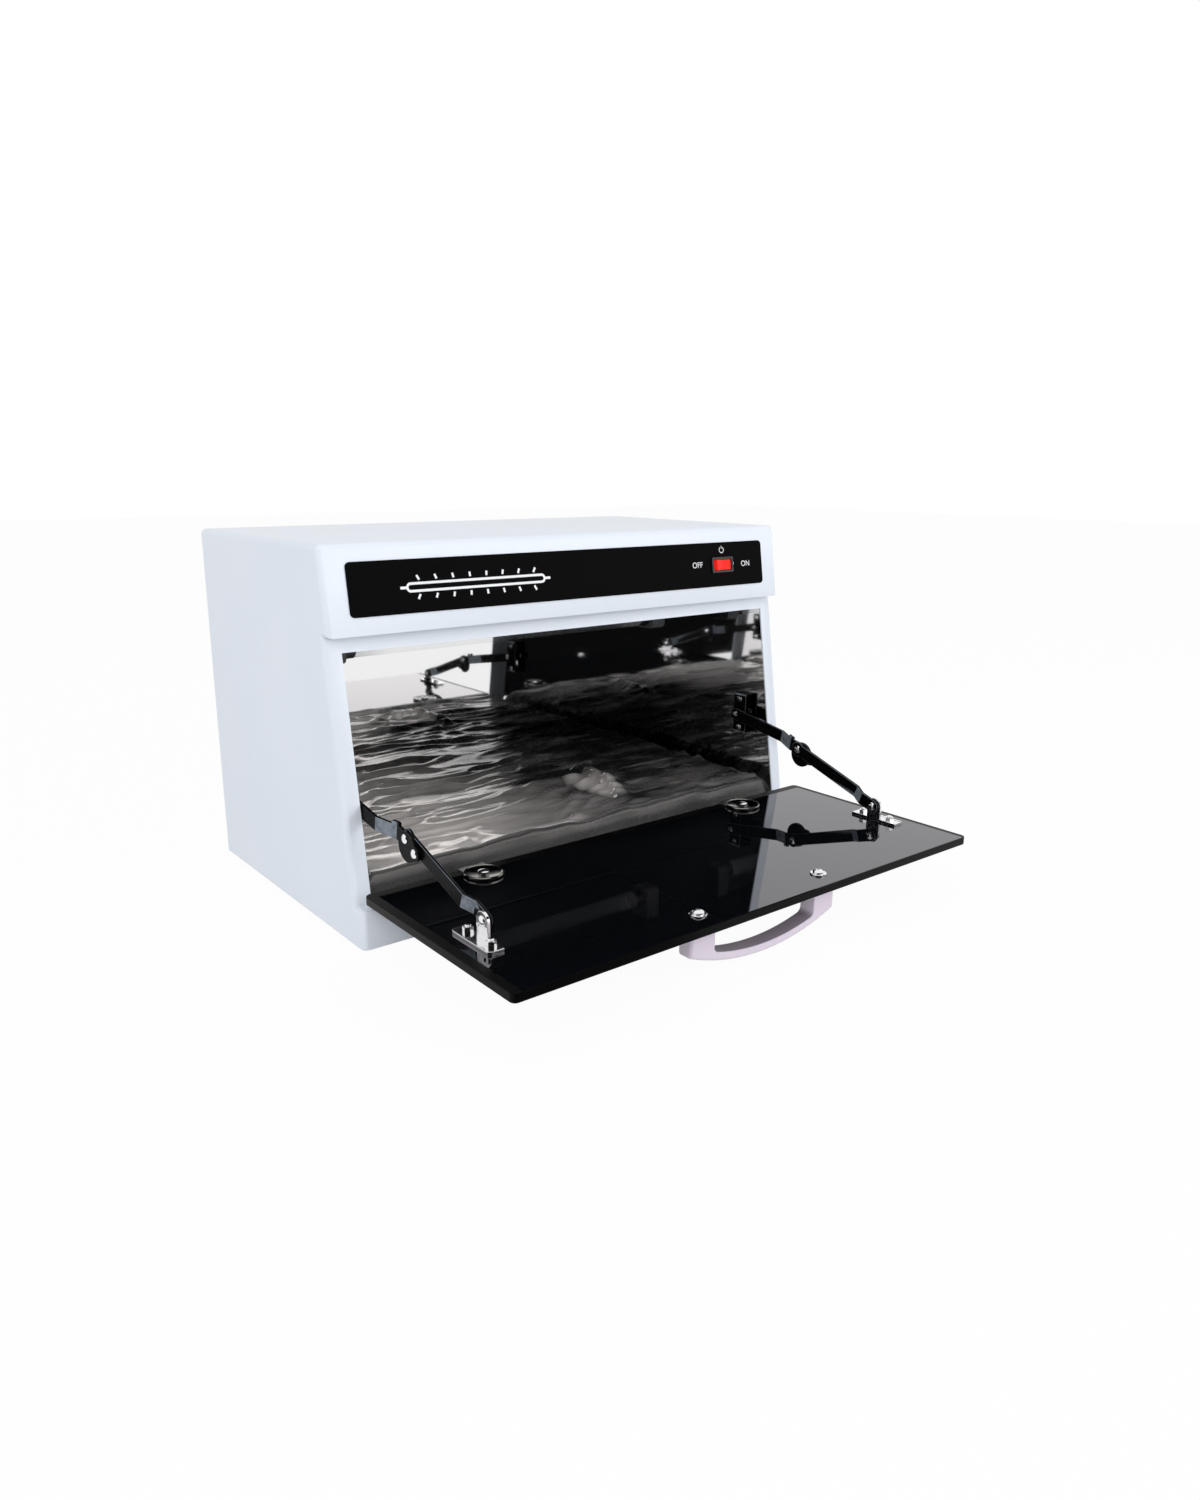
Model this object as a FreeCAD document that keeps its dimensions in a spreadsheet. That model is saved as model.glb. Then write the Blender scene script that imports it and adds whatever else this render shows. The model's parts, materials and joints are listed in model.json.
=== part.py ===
import FreeCAD, Part
import math
import os

import Sketcher

from FreeCAD import Placement, Rotation, Vector

# A bench top ultraviolet sterilizer: a white steel cabinet with a mirror-bright liner, a
# germicidal tube under its ceiling, a wrapped tray on its floor and a black glass door that
# drops open on two cranked hinges and is held level by two folding stays.
#
# The origin is on the table, under the middle of the box that the cabinet and its open door
# fill. X runs along the width, -Y is the front and Z is up. The door is modelled open, and
# closes by turning up about its hinge.

doc = FreeCAD.newDocument("sterilizer")


class Size:
    """A length, its number now and the expression that gives it from the sheet."""

    def __init__(self, number, text):
        self.number = number
        self.text = text

    def joined(self, other, sign, number):
        return Size(number, "(%s %s %s)" % (self.text, sign, as_size(other).text))

    def __add__(self, other):
        return self.joined(other, "+", self.number + as_size(other).number)

    def __sub__(self, other):
        return self.joined(other, "-", self.number - as_size(other).number)

    def __mul__(self, other):
        return self.joined(other, "*", self.number * as_size(other).number)

    def __truediv__(self, other):
        return self.joined(other, "/", self.number / as_size(other).number)

    def __neg__(self):
        return Size(-self.number, "(0 - %s)" % self.text)

    def __radd__(self, other):
        return as_size(other) + self

    def __rsub__(self, other):
        return as_size(other) - self

    def __rmul__(self, other):
        return as_size(other) * self


def as_size(value):
    return value if isinstance(value, Size) else Size(float(value), "(%.10g)" % value)


def sine(angle):
    return Size(math.sin(math.radians(angle.number)), "sin(%s)" % angle.text)


def cosine(angle):
    return Size(math.cos(math.radians(angle.number)), "cos(%s)" % angle.text)


def tangent(angle):
    return Size(math.tan(math.radians(angle.number)), "tan(%s)" % angle.text)


def root(value):
    return Size(math.sqrt(value.number), "sqrt(%s)" % value.text)


sheet = doc.addObject("Spreadsheet::Sheet", "Sizes")
places = doc.addObject("Spreadsheet::Sheet", "Places")
rows = {"Sizes": 0, "Places": 0}


def size(alias, value, note):
    """Write one driving size into the sheet."""
    rows["Sizes"] += 1
    row = str(rows["Sizes"])
    sheet.set("A" + row, alias)
    sheet.set("B" + row, str(value))
    sheet.setAlias("B" + row, alias)
    sheet.set("C" + row, note)
    return Size(float(value), "Sizes." + alias)


def place(alias, value):
    """Keep a worked-out place in the second sheet, so that the expressions stay short."""
    rows["Places"] += 1
    row = str(rows["Places"])
    places.set("A" + row, alias)
    places.set("B" + row, "=" + value.text)
    places.setAlias("B" + row, alias)
    return Size(value.number, "Places." + alias)


# Cabinet
cabinet_width = size("cabinet_width", 400, "outside width")
cabinet_depth = size("cabinet_depth", 238, "sill face to back")
cabinet_height = size("cabinet_height", 252, "height without the feet")
foot_height = size("foot_height", 3, "rubber foot, below the base")
front_slope = size("front_slope", 8.5, "lean of the front, degrees from upright")
sill_height = size("sill_height", 26, "upright sill under the opening")
ledge_depth = size("ledge_depth", 11.5, "ledge between sill face and door frame")
fascia_height = size("fascia_height", 56.5, "fascia above the door")
fascia_step = size("fascia_step", 8.5, "fascia stands this far out of the frame")
jamb_width = size("jamb_width", 12.5, "door frame beside the opening")
rail_height = size("rail_height", 10.5, "door frame above the opening")
steel = size("steel", 1.2, "painted sheet")
corner_radius = size("corner_radius", 4, "bent and ground outer corners")
fold_height = size("fold_height", 12, "folded edges of base and back")
fit = size("fit", 0.3, "gap between pieces that fit together")
small_shank = size("small_shank", 1.5, "screws in sheet metal")
small_head = size("small_head", 2.8, "screw head radius")
small_dome = size("small_dome", 1.2, "screw head height")
foot_inset = size("foot_inset", 24, "foot centre from the sides")
foot_radius = size("foot_radius", 8, "rubber foot")
foot_recess = size("foot_recess", 1.8, "recess for the foot's screw")
rail_across = size("rail_across", 120, "floor channel from the middle")
rail_width = size("rail_width", 30, "floor channel")

# Liner
liner_sheet = size("liner_sheet", 0.8, "polished stainless sheet")
liner_gap = size("liner_gap", 0.4, "between shell and liner")
ceiling_rise = size("ceiling_rise", 6, "ceiling above the opening's top edge")
liner_bend = size("liner_bend", 2, "bend at the back of the liner")
liner_start = size("liner_start", 1.6, "liner behind the door frame's sheet, clear of its bends")

# Label and switch
label_side = size("label_side", 17, "black strip, in from the cabinet's sides")
label_height = size("label_height", 34.3, "up the slope")
label_margin = size("label_margin", 11.4, "from the fascia's lower edge, up the slope")
label_sheet = size("label_sheet", 0.8, "strip thickness")
label_radius = size("label_radius", 3.2, "strip corners")
switch_side = size("switch_side", 62.5, "switch centre from the cabinet's side")
switch_up = size("switch_up", 28.1, "switch centre up the fascia")
switch_width = size("switch_width", 23, "bezel")
switch_height = size("switch_height", 12, "bezel")
switch_rim = size("switch_rim", 1.4, "bezel stands out")
switch_body = size("switch_body", 17, "housing behind the fascia")
rocker_width = size("rocker_width", 18.6, "rocker")
rocker_height = size("rocker_height", 7.8, "rocker")
rocker_tilt = size("rocker_tilt", 8, "degrees each side of level")
rocker_play = size("rocker_play", 0.4, "around the rocker")
rocker_depth = size("rocker_depth", 3.2, "rocker's axis behind the fascia")
rocker_rise = size("rocker_rise", 2.6, "rocker's ends above the fascia")
rocker_pivot = size("rocker_pivot", 1.1, "rocker's round pivot")

# Door
door_side = size("door_side", 1, "black glass, in from the cabinet's sides")
door_height = size("door_height", 166, "hinge edge to free edge")
door_glass = size("door_glass", 6, "glass thickness")
door_radius = size("door_radius", 4, "corners")
door_bevel = size("door_bevel", 4.5, "polished bevel along the sides")
door_gap = size("door_gap", 1, "closed door to frame")
door_lift = size("door_lift", 4.25, "closed door's edge above the ledge")
bevel_depth = size("bevel_depth", 1, "polished bevel")
arris = size("arris", 0.8, "ground edges")
bolt_inset = size("bolt_inset", 22, "door bracket bolts from the door's side")
bolt_gap = size("bolt_gap", 12, "door bracket bolts either side of the stay's pivot")
bolt_radius = size("bolt_radius", 2, "door bracket bolts")

# Hinges
hinge_across = size("hinge_across", 120.5, "hinge centre from the middle")
hinge_setback = size("hinge_setback", 1.15, "pin behind the sill face")
hinge_rise = size("hinge_rise", 3.1, "pin above the ledge")
pin_radius = size("pin_radius", 1.1, "hinge pin")
knuckle_radius = size("knuckle_radius", 2.1, "rolled knuckle")
knuckle_length = size("knuckle_length", 8, "middle knuckle")
leaf_sheet = size("leaf_sheet", 1, "hinge leaf")
leaf_width = size("leaf_width", 20, "hinge leaf")
leaf_play = size("leaf_play", 0.25, "beside a turning knuckle")
base_leaf_length = size("base_leaf_length", 13.5, "fixed leaf behind the pin")
cup_setback = size("cup_setback", 15.5, "cup centre from the door's edge")
cup_radius = size("cup_radius", 13.5, "cup flange")
cup_hole_radius = size("cup_hole_radius", 11, "hole in the glass")
cup_flange = size("cup_flange", 1.4, "cup flange thickness")
cup_screw_radius = size("cup_screw_radius", 2, "hinge cup screw")
cup_dish = size("cup_dish", 0.6, "dish in the cup's face")
cup_rim = size("cup_rim", 1.5, "rim around the dish")
cup_head = size("cup_head", 4, "hinge cup screw's head")
cup_head_height = size("cup_head_height", 1.8, "hinge cup screw's head")
leaf_head = size("leaf_head", 2.5, "hinge leaf screw's head")
leaf_head_height = size("leaf_head_height", 1, "hinge leaf screw's head")

# Handle
handle_spacing = size("handle_spacing", 109, "between the two screws")
handle_setback = size("handle_setback", 16.5, "screws from the door's free edge")
handle_width = size("handle_width", 12, "across the grip")
handle_end = size("handle_end", 10.5, "screw to the end of the handle")
handle_foot = size("handle_foot", 20, "length of a foot")
handle_drop = size("handle_drop", 31.5, "door to the outside of the grip")
handle_grip = size("handle_grip", 6, "grip thickness")
handle_shoulder = size("handle_shoulder", 18.5, "door to where the bow begins")
handle_ease = size("handle_ease", 1.5, "handle's long edges")
washer_sheet = size("washer_sheet", 1, "handle washer")
washer_radius = size("washer_radius", 5.5, "handle washer")
handle_thread = size("handle_thread", 10, "handle screw in the handle")
grip_head = size("grip_head", 3.8, "handle screw head radius")

# Stays
stay_wall_y = size("stay_wall_y", 57.1, "wall pivot behind the sill face")
stay_wall_z = size("stay_wall_z", 91.5, "wall pivot above the base")
stay_elbow_y = size("stay_elbow_y", 22.9, "elbow in front of the sill face")
stay_elbow_z = size("stay_elbow_z", 77.7, "elbow above the base")
stay_door_along = size("stay_door_along", 101, "door pivot from the door's hinge edge")
stay_door_rise = size("stay_door_rise", 11.5, "door pivot above the glass")
stay_sheet = size("stay_sheet", 2, "arm thickness")
bracket_sheet = size("bracket_sheet", 1.5, "wall bracket")
bracket_web = size("bracket_web", 8.2, "wall bracket's web, from the cabinet's side")
bracket_screw_gap = size("bracket_screw_gap", 12.5, "wall bracket screws above and below the pivot")
bracket_width = size("bracket_width", 14, "wall bracket")
stay_width = size("stay_width", 9.6, "arm width")
stay_disc = size("stay_disc", 10, "elbow plate radius")
stay_disc_ahead = size("stay_disc_ahead", 2.5, "elbow plate past the pivot")
stay_disc_below = size("stay_disc_below", 4.2, "elbow plate below the pivot")
stay_wall_side = size("stay_wall_side", 13.2, "upper arm's wall end, from the cabinet's side")
stay_elbow_side = size("stay_elbow_side", 19.7, "upper arm's elbow end, from the side")
stay_door_side = size("stay_door_side", 26.2, "lower arm's door end, from the side")
stay_play = size("stay_play", 0.4, "between arms and ears")
rivet_radius = size("rivet_radius", 2, "stay rivets")
rivet_head = size("rivet_head", 3.3, "rivet head radius")
rivet_dome = size("rivet_dome", 1.5, "rivet head height")
arm_blank = size("arm_blank", 40, "blank strip past an arm's ends and sides")
joggle = size("joggle", 16, "length of the upper arm's joggle")
joggle_start = size("joggle_start", 10, "upper arm's joggle from its elbow")
low_joggle = size("low_joggle", 8, "length of the lower arm's joggle")
low_joggle_start = size("low_joggle_start", 12, "lower arm's joggle from the door's pivot")
tab_along = size("tab_along", 8, "stop tab from the elbow")
tab_length = size("tab_length", 6, "stop tab")
tab_rise = size("tab_rise", 2.2, "stop tab above the arm")
stop_ahead = size("stop_ahead", 12, "stop rivet in front of the elbow, along the upper arm")
stop_below = size("stop_below", 4.7, "stop rivet below the upper arm's middle")
stop_lobe = size("stop_lobe", 4.9, "elbow plate around the stop rivet")
head_swell = size("head_swell", 1.2, "lower arm's elbow end, wider than the arm each side")
ear_width = size("ear_width", 12, "door bracket's ear")
foot_sheet = size("foot_sheet", 2, "door bracket's foot")
foot_length = size("foot_length", 40, "door bracket's foot")
foot_start = size("foot_start", 15, "door bracket's foot, from the side")
nut_radius = size("nut_radius", 3.3, "bolt's nut, across the corners")
nut_height = size("nut_height", 3, "bolt's nut")

# Tray
tray_side = size("tray_side", 4.5, "tray in from the sides of the opening")
tray_rear = size("tray_rear", 10.4, "tray to the liner's back")
tray_height = size("tray_height", 15, "tray walls")
tray_sheet = size("tray_sheet", 0.8, "tray sheet")
tray_setback = size("tray_setback", 20, "tray's front behind the sill face")
film_sheet = size("film_sheet", 0.6, "clear film with its folds")
tray_corner = size("tray_corner", 8, "tray corners")

# Back panel and mains inlet
inlet_side = size("inlet_side", 60, "mains inlet's middle from the cabinet's side")
inlet_below = size("inlet_below", 27, "mains inlet's middle below the top")
inlet_width = size("inlet_width", 27, "inlet body")
inlet_height = size("inlet_height", 19.8, "inlet body")
inlet_depth = size("inlet_depth", 16, "inlet body behind its flange")
vent_length = size("vent_length", 22, "vent slot")
vent_height = size("vent_height", 3, "vent slot")
vent_pitch = size("vent_pitch", 9, "between vent slots")
vent_across = size("vent_across", 60, "vent columns from the middle")
inlet_rim = size("inlet_rim", 2, "inlet flange on the back panel")
inlet_wall = size("inlet_wall", 2, "inlet wall")
pin_width = size("pin_width", 4, "flat pin")
pin_sheet = size("pin_sheet", 2, "flat pin")
pin_pitch = size("pin_pitch", 7, "flat pins from the middle")

# Compartment above the ceiling
ballast_length = size("ballast_length", 85, "ballast")
ballast_width = size("ballast_width", 41, "ballast")
ballast_height = size("ballast_height", 30, "ballast")
ballast_foot = size("ballast_foot", 12, "ballast foot at each end")
ballast_setback = size("ballast_setback", 139, "ballast's front, behind the sill face")
starter_radius = size("starter_radius", 10.5, "starter")
starter_length = size("starter_length", 33, "starter")
socket_length = size("socket_length", 12, "starter socket")
socket_width = size("socket_width", 26, "starter socket")
terminal_length = size("terminal_length", 38, "terminal block")
terminal_width = size("terminal_width", 18, "terminal block")
terminal_height = size("terminal_height", 14, "terminal block")
terminal_well = size("terminal_well", 2.2, "terminal's screw well")

# Lamp
tube_radius = size("tube_radius", 7.75, "eight watt germicidal tube")
tube_length = size("tube_length", 288, "over the caps")
cap_length = size("cap_length", 9, "lamp cap")
lamp_drop = size("lamp_drop", 20, "tube axis below the ceiling")
lamp_setback = size("lamp_setback", 132, "tube axis behind the sill face")
holder_width = size("holder_width", 14, "lamp holder, along the tube")
cap_radius = size("cap_radius", 8, "lamp cap")
cap_pin = size("cap_pin", 1.2, "lamp pin")
cap_pin_length = size("cap_pin_length", 7, "lamp pin")
cap_pin_gap = size("cap_pin_gap", 2.4, "lamp pins above and below the axis")
holder_depth = size("holder_depth", 22, "lamp holder")
holder_below = size("holder_below", 10, "lamp holder below the tube's axis")
reflector_flat = size("reflector_flat", 12, "reflector's flat, each side of the middle")
reflector_wing = size("reflector_wing", 28, "reflector's edge, from the middle")
reflector_drop = size("reflector_drop", 13, "reflector's edge below the ceiling")

# Shared places, from an origin on the table under the middle of the whole box, door open
half_width = place("half_width", cabinet_width / 2)
inner_half = place("inner_half", half_width - steel)
closed_behind = place("closed_behind", ledge_depth + door_lift * sine(front_slope)
                      - door_gap * cosine(front_slope) - hinge_setback)
closed_above = place("closed_above", door_lift * cosine(front_slope)
                     + door_gap * sine(front_slope) - hinge_rise)
door_reach = place("door_reach", door_height - hinge_setback + closed_behind * sine(front_slope)
                   + closed_above * cosine(front_slope))
sill_y = place("sill_y", (door_reach - cabinet_depth - inlet_rim) / 2)
back_y = place("back_y", sill_y + cabinet_depth)
top_z = place("top_z", foot_height + cabinet_height)
ledge_z = place("ledge_z", foot_height + sill_height)
frame_y = place("frame_y", sill_y + ledge_depth)
fascia_z = place("fascia_z", top_z - fascia_height)
frame_top_y = place("frame_top_y", frame_y + (fascia_z - ledge_z) * tangent(front_slope))
fascia_y = place("fascia_y", frame_top_y - fascia_step)
fascia_top_y = place("fascia_top_y", fascia_y + fascia_height * tangent(front_slope))
opening_z = place("opening_z", fascia_z - rail_height)
opening_half = place("opening_half", half_width - jamb_width)
ceiling_z = place("ceiling_z", opening_z + ceiling_rise)
roof_z = place("roof_z", ceiling_z + liner_sheet)
liner_half = place("liner_half", half_width - steel - liner_gap - liner_sheet)
liner_back_y = place("liner_back_y", back_y - steel * 2 - liner_gap - liner_sheet)
label_width = place("label_width", cabinet_width - label_side * 2)
switch_x = place("switch_x", half_width - switch_side)
inlet_x = place("inlet_x", half_width - inlet_side)
inlet_z = place("inlet_z", top_z - inlet_below)
ballast_y = place("ballast_y", sill_y + ballast_setback)
door_width = place("door_width", cabinet_width - door_side * 2)
tray_y = place("tray_y", sill_y + tray_setback)
tray_width = place("tray_width", (opening_half - tray_side) * 2)
tray_depth = place("tray_depth", liner_back_y - tray_rear - tray_y)

# Hinge axis, and the door's hinge edge on its inner face, first closed and then open
pin_y = place("pin_y", sill_y + hinge_setback)
pin_z = place("pin_z", ledge_z + hinge_rise)
edge_y = place("edge_y", pin_y - closed_behind * sine(front_slope)
               - closed_above * cosine(front_slope))
door_z = place("door_z", pin_z + closed_behind * cosine(front_slope)
               - closed_above * sine(front_slope))
door_end_y = place("door_end_y", edge_y - door_height)
door_under_z = place("door_under_z", door_z - door_glass)

doc.recompute()

pieces = []
UPRIGHT_SIDE = Rotation(Vector(1, 1, 1), 120)
UPRIGHT_FRONT = Rotation(Vector(1, 0, 0), 90)
ALONG_X = Rotation(Vector(0, 1, 0), 90)
ALONG_Y = Rotation(Vector(1, 0, 0), -90)
FLAT = Rotation()


def bind(target, prop, value):
    """Set a property to a size and tie it to the sheet."""
    target.setExpression(prop, as_size(value).text)


def put(target, corner, turn=FLAT):
    """Place an object at three sizes, turned by a fixed rotation."""
    target.Placement = Placement(Vector(*[as_size(c).number for c in corner]), turn)
    for axis, value in zip("xyz", corner):
        bind(target, "Placement.Base." + axis, value)


def keep(target, label):
    """Give a finished piece its label."""
    target.Label = label
    pieces.append(target)
    return target


def box(name, corner, extent, turn=FLAT):
    solid = doc.addObject("Part::Box", name)
    for prop, value in zip(("Length", "Width", "Height"), extent):
        bind(solid, prop, value)
    put(solid, corner, turn)
    return solid


def cylinder(name, centre, radius, height, turn=FLAT):
    solid = doc.addObject("Part::Cylinder", name)
    bind(solid, "Radius", radius)
    bind(solid, "Height", height)
    put(solid, centre, turn)
    return solid


def prism(name, centre, radius, height, sides, turn=FLAT):
    """An upright solid with equal flat sides, its radius out to the corners."""
    solid = doc.addObject("Part::Prism", name)
    solid.Polygon = sides
    bind(solid, "Circumradius", radius)
    bind(solid, "Height", height)
    put(solid, centre, turn)
    return solid


def button(name, centre, radius, height, turn=FLAT):
    """A low stepped head with few faces, standing on its flat side at the centre."""
    return fuse(name, [prism(name + "_brim", centre, radius, as_size(height) * 0.6, 12, turn),
                       prism(name + "_crown", centre, as_size(radius) * 0.7, height, 12, turn)])


def cut(name, base, tools):
    """Take one or more solids out of another."""
    tool = tools[0] if len(tools) == 1 else fuse(name + "_tools", tools)
    result = doc.addObject("Part::Cut", name)
    result.Base = base
    result.Tool = tool
    return result


def fuse(name, parts):
    result = doc.addObject("Part::MultiFuse", name)
    result.Shapes = parts
    return result


def common(name, parts):
    result = doc.addObject("Part::MultiCommon", name)
    result.Shapes = parts
    return result


def group(name, parts):
    """Several separate solids in one piece."""
    result = doc.addObject("Part::Compound", name)
    result.Links = parts
    return result


def shifted(spot, turn, distance):
    """A spot moved along the direction that a turn gives to Z."""
    way = turn.multVec(Vector(0, 0, 1))
    return tuple(as_size(c) + as_size(distance) * round(s) for c, s in zip(spot, way))


def screws(name, spots, turn, head, height, shank, length, sides=6):
    """Screws with few faces, each with its head's seat at a spot."""
    made = []
    for i, spot in enumerate(spots):
        cap = prism("%s_head_%d" % (name, i), spot, head, height, sides, turn)
        stem = prism("%s_shank_%d" % (name, i), shifted(spot, turn, -as_size(length)), shank,
                     as_size(length) + fit / 2, 6, turn)
        made.append(fuse("%s_%d" % (name, i), [cap, stem]))
    return made


def holes(name, spots, turn, radius, length):
    """Holes for shanks, with the same few faces, from above each spot to a depth below it."""
    return [prism("%s_%d" % (name, i), shifted(spot, turn, -as_size(length)), radius,
                  as_size(length) * 2, 6, turn) for i, spot in enumerate(spots)]


def left_and_right(spots):
    return list(spots) + [(-as_size(x), y, z) for x, y, z in spots]


def mirrored(name, source):
    """The same piece on the other side of the cabinet."""
    result = doc.addObject("Part::Mirroring", name)
    result.Source = source
    result.Normal = Vector(1, 0, 0)
    return result


def on_both_sides(left, label):
    """Keep a left-hand piece and its mirror image."""
    keep(left, label + "_left")
    keep(mirrored(left.Name + "_right", left), label + "_right")


def outline(name, points, turn=FLAT, corner=(0, 0, 0), owner=None):
    """A closed sketch with a corner at each point, each tied to the sheet."""
    kind = "Sketcher::SketchObject"
    sketch = owner.newObject(kind, name) if owner else doc.addObject(kind, name)
    put(sketch, corner, turn)
    ends = [Vector(as_size(a).number, as_size(b).number, 0) for a, b in points]
    count = len(ends)
    for i in range(count):
        sketch.addGeometry(Part.LineSegment(ends[i], ends[(i + 1) % count]), False)
    for i in range(count):
        sketch.addConstraint(Sketcher.Constraint("Coincident", i, 2, (i + 1) % count, 1))
    for i, point in enumerate(points):
        for way, value in zip(("DistanceX", "DistanceY"), point):
            row = sketch.addConstraint(Sketcher.Constraint(way, i, 1, as_size(value).number))
            sketch.setExpression("Constraints[%d]" % row, as_size(value).text)
    return sketch


def extrude(name, sketch, ahead, behind=0):
    """Give a sketch its thickness, ahead of and behind its own plane."""
    result = doc.addObject("Part::Extrusion", name)
    result.Base = sketch
    result.DirMode = "Normal"
    result.Solid = True
    bind(result, "LengthFwd", ahead)
    bind(result, "LengthRev", behind)
    return result


def side_profile(name, points, half):
    """A solid with its outline in YZ, reaching as far to the left as to the right."""
    return extrude(name, outline(name + "_outline", points, UPRIGHT_SIDE), half, half)


def rounded(name, base, radius, wanted, kind="Part::Fillet"):
    """Round the edges of a solid for which the test holds."""
    doc.recompute()
    result = doc.addObject(kind, name)
    result.Base = base
    chosen = [i + 1 for i, edge in enumerate(base.Shape.Edges) if wanted(edge)]
    result.Edges = [(i, radius, radius) for i in chosen]
    return result


def chamfered(name, base, length, wanted):
    """Cut a flat along the edges of a solid for which the test holds."""
    return rounded(name, base, length, wanted, "Part::Chamfer")


def near(a, b, within=0.01):
    return abs(a - b) < within


def lies_at(edge, **where):
    """Whether both ends of an edge are at the given coordinates."""
    return all(near(getattr(v.Point, axis), value) for v in edge.Vertexes
               for axis, value in where.items())


def along(edge, axis):
    """Whether an edge is straight and runs along an axis."""
    if len(edge.Vertexes) != 2 or edge.Curve.TypeId != "Part::GeomLine":
        return False
    return near(abs(getattr(edge.tangentAt(edge.FirstParameter), axis)), 1)


def lean(target, across, up, out, quarter=0):
    """Place an object on the leaning fascia, so far up its slope and out of its face."""
    up, out = as_size(up), as_size(out)
    put(target, (across, fascia_y + up * sine(front_slope) - out * cosine(front_slope),
                 fascia_z + up * cosine(front_slope) + out * sine(front_slope)),
        Rotation(Vector(1, 0, 0), quarter - front_slope.number))
    target.setExpression("Placement.Rotation.Angle", "%d - %s" % (quarter, front_slope.text))
    return target


def leaning_box(name, across, up, out, width, height, depth):
    """A box on the fascia: centred at a place, with its outer face standing out by a size."""
    solid = box(name, (0, 0, 0), (width, depth, height))
    return lean(solid, as_size(across) - as_size(width) / 2, as_size(up) - as_size(height) / 2,
                out)


# Cabinet shell: top, sides, fascia, door frame, ledge and sill, bent and welded to one sheet
def front_points(inset):
    """The front of the side view, drawn in by a sheet's thickness."""
    ahead = inset / cosine(front_slope)
    slip = inset * tangent(front_slope)
    return [
        (sill_y + inset, ledge_z - inset),
        (frame_y + ahead - slip, ledge_z - inset),
        (frame_top_y + ahead + slip, fascia_z + inset),
        (fascia_y + ahead + slip, fascia_z + inset),
        (fascia_top_y + ahead - slip, top_z - inset),
    ]


def side_edges(half, low, high, rear):
    """Picks the edges along both sides and the fascia's top edge."""
    def wanted(edge):
        beside = all(near(abs(v.Point.x), half.number) for v in edge.Vertexes)
        across = along(edge, "x")
        ends = lies_at(edge, z=low.number) or lies_at(edge, y=rear.number)
        crown = across and lies_at(edge, z=high.number)
        return not ends and ((beside and not across) or crown)
    return wanted


none = as_size(0)
past = as_size(5)
shell_rear = back_y - steel
fold_y = back_y - steel * 2
inner_radius = max(corner_radius.number - steel.number, 0.4)
shell_outer = side_profile(
    "shell_outer", [(sill_y, foot_height)] + front_points(none)
    + [(shell_rear, top_z), (shell_rear, foot_height)], half_width)
shell_outer = rounded("shell_outer_round", shell_outer, corner_radius.number,
                      side_edges(half_width, foot_height, top_z, shell_rear))
shell_inner = side_profile(
    "shell_inner", [(sill_y + steel, foot_height - past)] + front_points(steel)
    + [(fold_y, top_z - steel), (fold_y, foot_height - past)], inner_half)
shell_inner = chamfered("shell_inner_bend", shell_inner, inner_radius * 0.6,
                      side_edges(inner_half, foot_height - past, top_z - steel, fold_y))
rear_window = box("rear_window", (fold_height - half_width, fold_y - past, foot_height - past),
                  (cabinet_width - fold_height * 2, past * 3, cabinet_height - fold_height + past))
door_opening = box("door_opening", (-opening_half, sill_y + steel * 2, ledge_z),
                   (opening_half * 2, cabinet_depth / 2, opening_z - ledge_z))
switch_hole = leaning_box("switch_hole", switch_x, switch_up, past, rocker_width + steel * 2,
                          rocker_height + steel * 2, past * 2)

# Screws through the sheet, seated on the pieces they hold
rear_up = [foot_height + fold_height, foot_height + cabinet_height / 2, top_z - fold_height * 1.5]
rear_spots = left_and_right([(half_width - fold_height / 2 - steel / 2, back_y, z)
                             for z in rear_up] + [(cabinet_width / 6, back_y,
                                                   top_z - fold_height / 2 - steel / 2)])
leaf_spots = left_and_right([(hinge_across + dx * leaf_width / 4, frame_y - 3, ledge_z + leaf_sheet)
                             for dx in (-1, 1)])
UP, DOWN = Rotation(), Rotation(Vector(1, 0, 0), 180)
BACKWARD, FORWARD = Rotation(Vector(1, 0, 0), -90), Rotation(Vector(1, 0, 0), 90)
INWARD = Rotation(Vector(0, 1, 0), 90)
doc.recompute()

shell = cut("shell_body", shell_outer, [shell_inner, rear_window, door_opening, switch_hole]
            + holes("rear_hole", rear_spots, BACKWARD, small_shank + fit / 2, steel * 3)
            + holes("leaf_hole", leaf_spots, UP, small_shank + fit / 2, steel * 3))
keep(shell, "cabinet_shell")

# Base plate: a folded tray inside the shell's foot, on four rubber feet
plate_half = inner_half - fit
plate_front = sill_y + steel + fit
plate_depth = fold_y - fit - plate_front
plate_solid = rounded("plate_solid", box(
    "plate_block", (-plate_half, plate_front, foot_height),
    (plate_half * 2, plate_depth, fold_height)), inner_radius, lambda edge: along(edge, "z"))
plate_hollow = box("plate_hollow", (steel - plate_half, plate_front + steel, foot_height + steel),
                   (plate_half * 2 - steel * 2, plate_depth - steel * 2, fold_height))
foot_spots = left_and_right([(half_width - foot_inset, y, foot_height)
                             for y in (sill_y + foot_inset, back_y - foot_inset)])
keep(cut("base_plate_body", plate_solid, [plate_hollow]
         + holes("foot_hole", foot_spots, DOWN, small_shank + fit / 2, steel * 2)), "base_plate")
feet = []
for i, (x, y, z) in enumerate(foot_spots):
    pad = prism("foot_pad_%d" % i, (x, y, 0), foot_radius, foot_height, 20)
    recess = prism("foot_recess_%d" % i, (x, y, 0), small_head + fit, foot_recess, 6)
    bore = prism("foot_bore_%d" % i, (x, y, 0), small_shank + fit / 2, foot_height, 6)
    feet.append(cut("foot_%d" % i, pad, [recess, bore]))
keep(group("feet", feet), "rubber_feet")
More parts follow.
